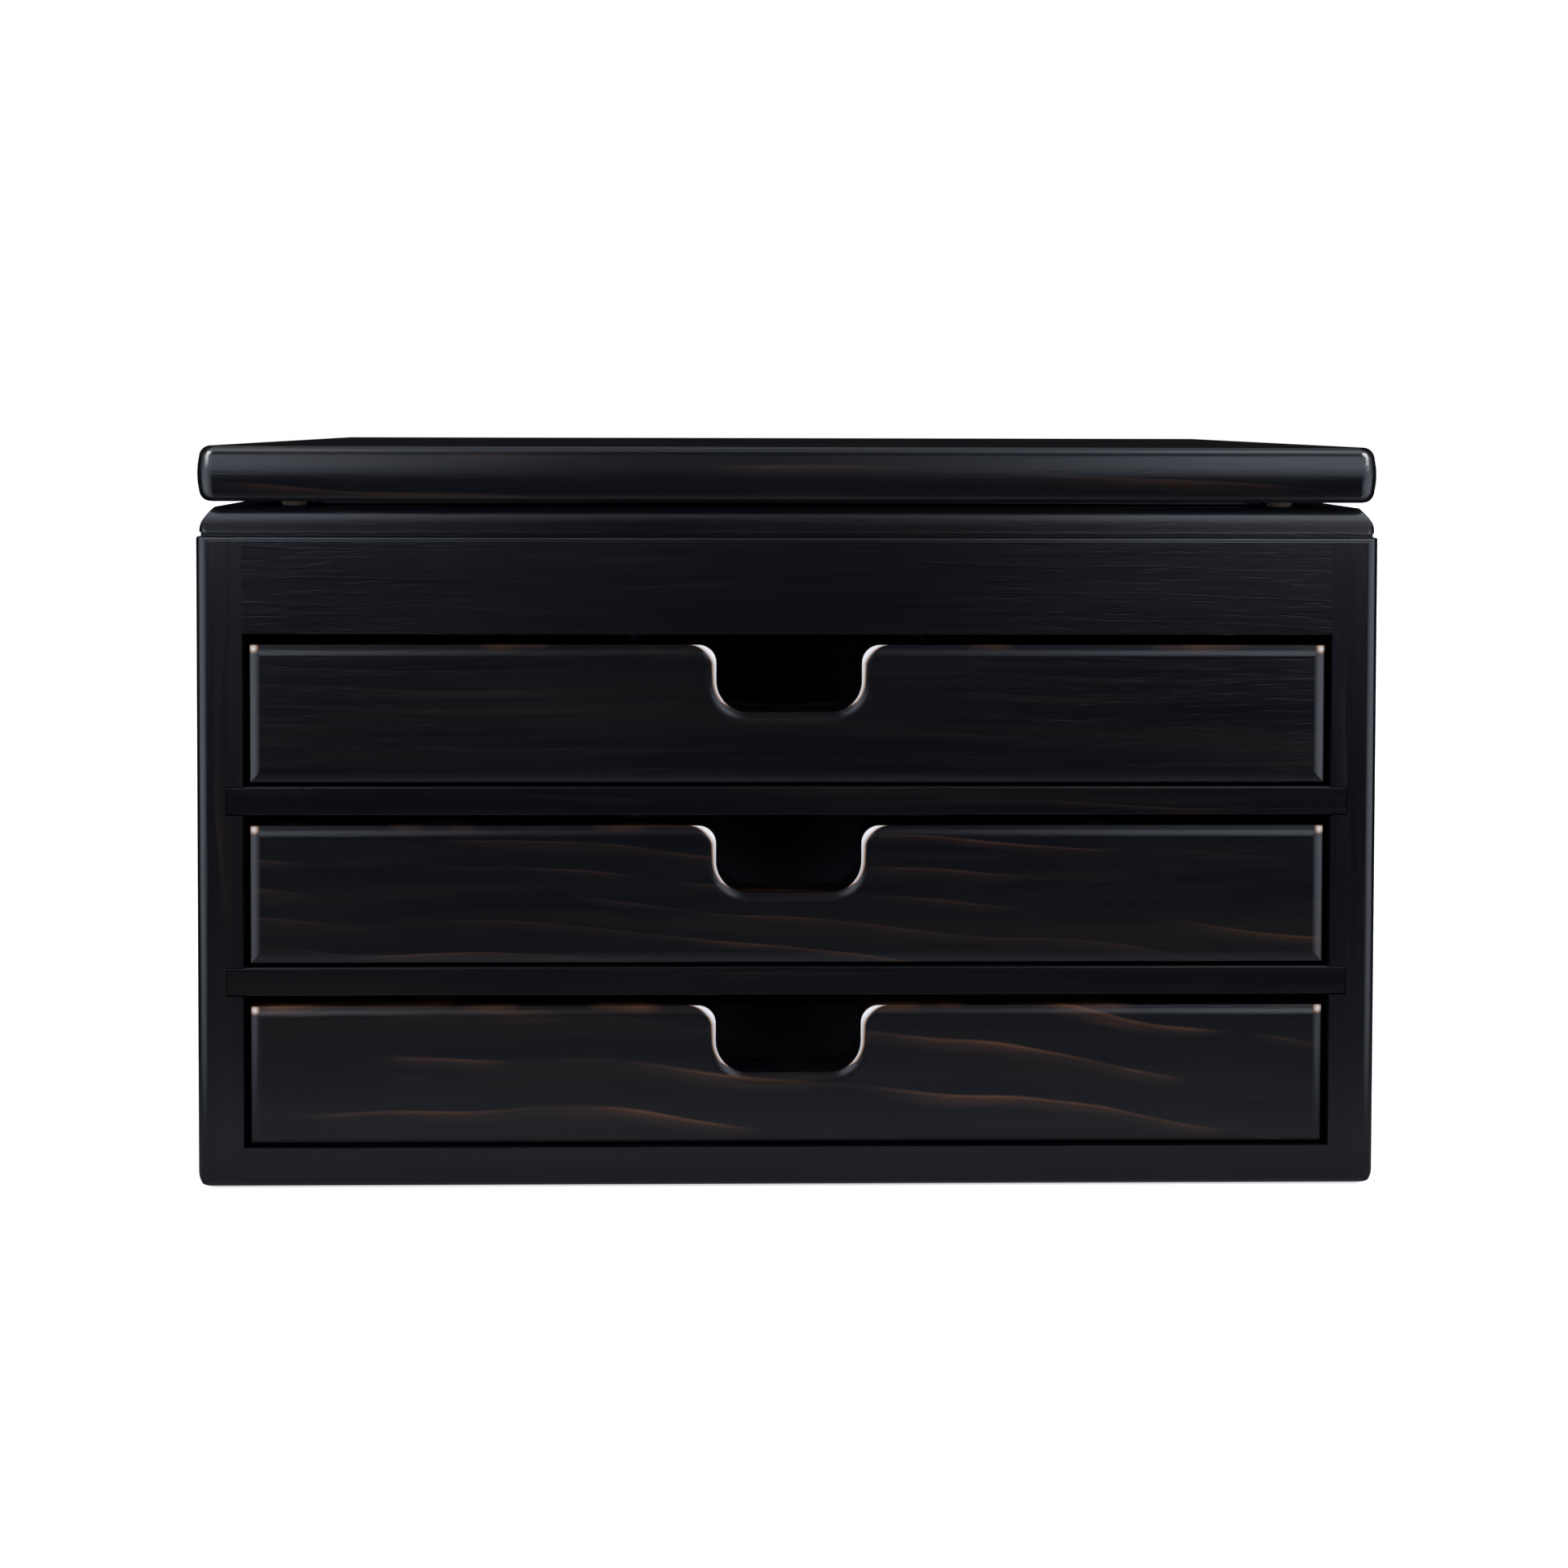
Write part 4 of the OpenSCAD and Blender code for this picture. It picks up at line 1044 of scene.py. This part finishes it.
def screw(centre, head_z, up):
    """A countersunk screw with a driver slot. up is 1 for a head that faces up, -1 for one facing down."""
    head_r, shank_r, shank_top, tip = 1.6 * MM, 0.8 * MM, -0.8 * MM, -6 * MM
    turns, pitch, thread_top = 9, 0.44 * MM, -1.3 * MM
    profile = [(0, 0), (head_r * 0.93, 0), (head_r, -0.06 * MM), (head_r * 0.99, -0.12 * MM)]
    profile.append((shank_r, shank_top))
    for k in range(turns):
        z = thread_top - k * pitch
        profile += [(shank_r * 0.72, z), (shank_r * 0.98, z - 0.2 * MM)]
    profile.append((0, tip))
    made = lathe("screw", (0, 0, 0), profile, segments=32)

    half_l, half_w, depth, above = 2 * MM, 0.18 * MM, 0.42 * MM, 1 * MM
    cut_box(made, (-half_l, -half_w, -depth), (half_l, half_w, above))
    slot_turn = math.radians(20 + 35 * (centre[0] * 1000 % 3))  # each screw's slot points its own way
    place = Matrix.Translation((centre[0], centre[1], head_z)) @ Matrix.Diagonal((1, 1, up, 1))
    made.data.transform(place @ Matrix.Rotation(slot_turn, 4, "Z"))
    if up < 0:
        made.data.flip_normals()
    return made


def make_screws(metal):
    groups = (
        ("hinge_screws_cabinet", "hinge_leaf_cabinet_", "cabinet", 1),
        ("hinge_screws_lid", "hinge_leaf_lid_", "lid", -1),
    )
    for node, leaf, body, up in groups:
        low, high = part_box(node)
        head_z = high.z if up > 0 else low.z
        y = (low.y + high.y) / 2
        made = []
        for side in ("left", "right"):
            leaf_low, leaf_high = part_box(leaf + side)
            for x in (leaf_low.x + SCREW_INSET, leaf_high.x - SCREW_INSET):
                made.append(screw((x, y), head_z, up))
        group = join_pieces(node + "_slotted", made)
        mark_sharp(group, 35)
        finish_piece(group, metal, body, "hinge_brass", node)


def finish_hinges(metal):
    for side in ("left", "right"):
        for part in ("hinge_leaf_cabinet_", "hinge_leaf_lid_", "hinge_pin_"):
            give(part + side, metal)


def make_mirror():
    """A silvered plate whose visible side has a wide, shallow polished bevel."""
    low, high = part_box("lid_mirror")
    bevel_w, bevel_drop, arris = 12 * MM, 0.35 * MM, 0.15 * MM
    levels = (
        (bevel_w, low.z), (arris, low.z + bevel_drop), (0, low.z + bevel_drop + arris), (0, high.z)
    )
    plate = bmesh.new()
    loops = []
    for inset, z in levels:
        left, right, front, back = low.x + inset, high.x - inset, low.y + inset, high.y - inset
        corners = ((left, front, z), (right, front, z), (right, back, z), (left, back, z))
        loops.append([plate.verts.new(corner) for corner in corners])
    close_loops(plate, loops)
    mirror = object_from("bevelled_mirror", plate, smooth=False)
    finish_piece(mirror, silvered_glass("silvered_glass"), "lid", "mirror_glass", "lid_mirror")


# ---------- the scene ----------

scene.view_settings.view_transform = "Standard"
make_camera()
make_floor()
make_world()
make_lights()

finish_cabinet()
finish_lid()
finish_drawers()

lining_cloth = velvet("lining_velvet", (0.010, 0.010, 0.013), (0.030, 0.030, 0.036))
roll_cloth = velvet("ring_roll_velvet", (0.013, 0.013, 0.016), (0.040, 0.040, 0.047))
line_tray(lining_cloth)
line_drawers(lining_cloth)
divide_drawers(lining_cloth)
make_ring_rolls(roll_cloth)

make_felts()
hinge_metal = brass("aged_brass")
finish_hinges(hinge_metal)
make_screws(hinge_metal)
make_mirror()
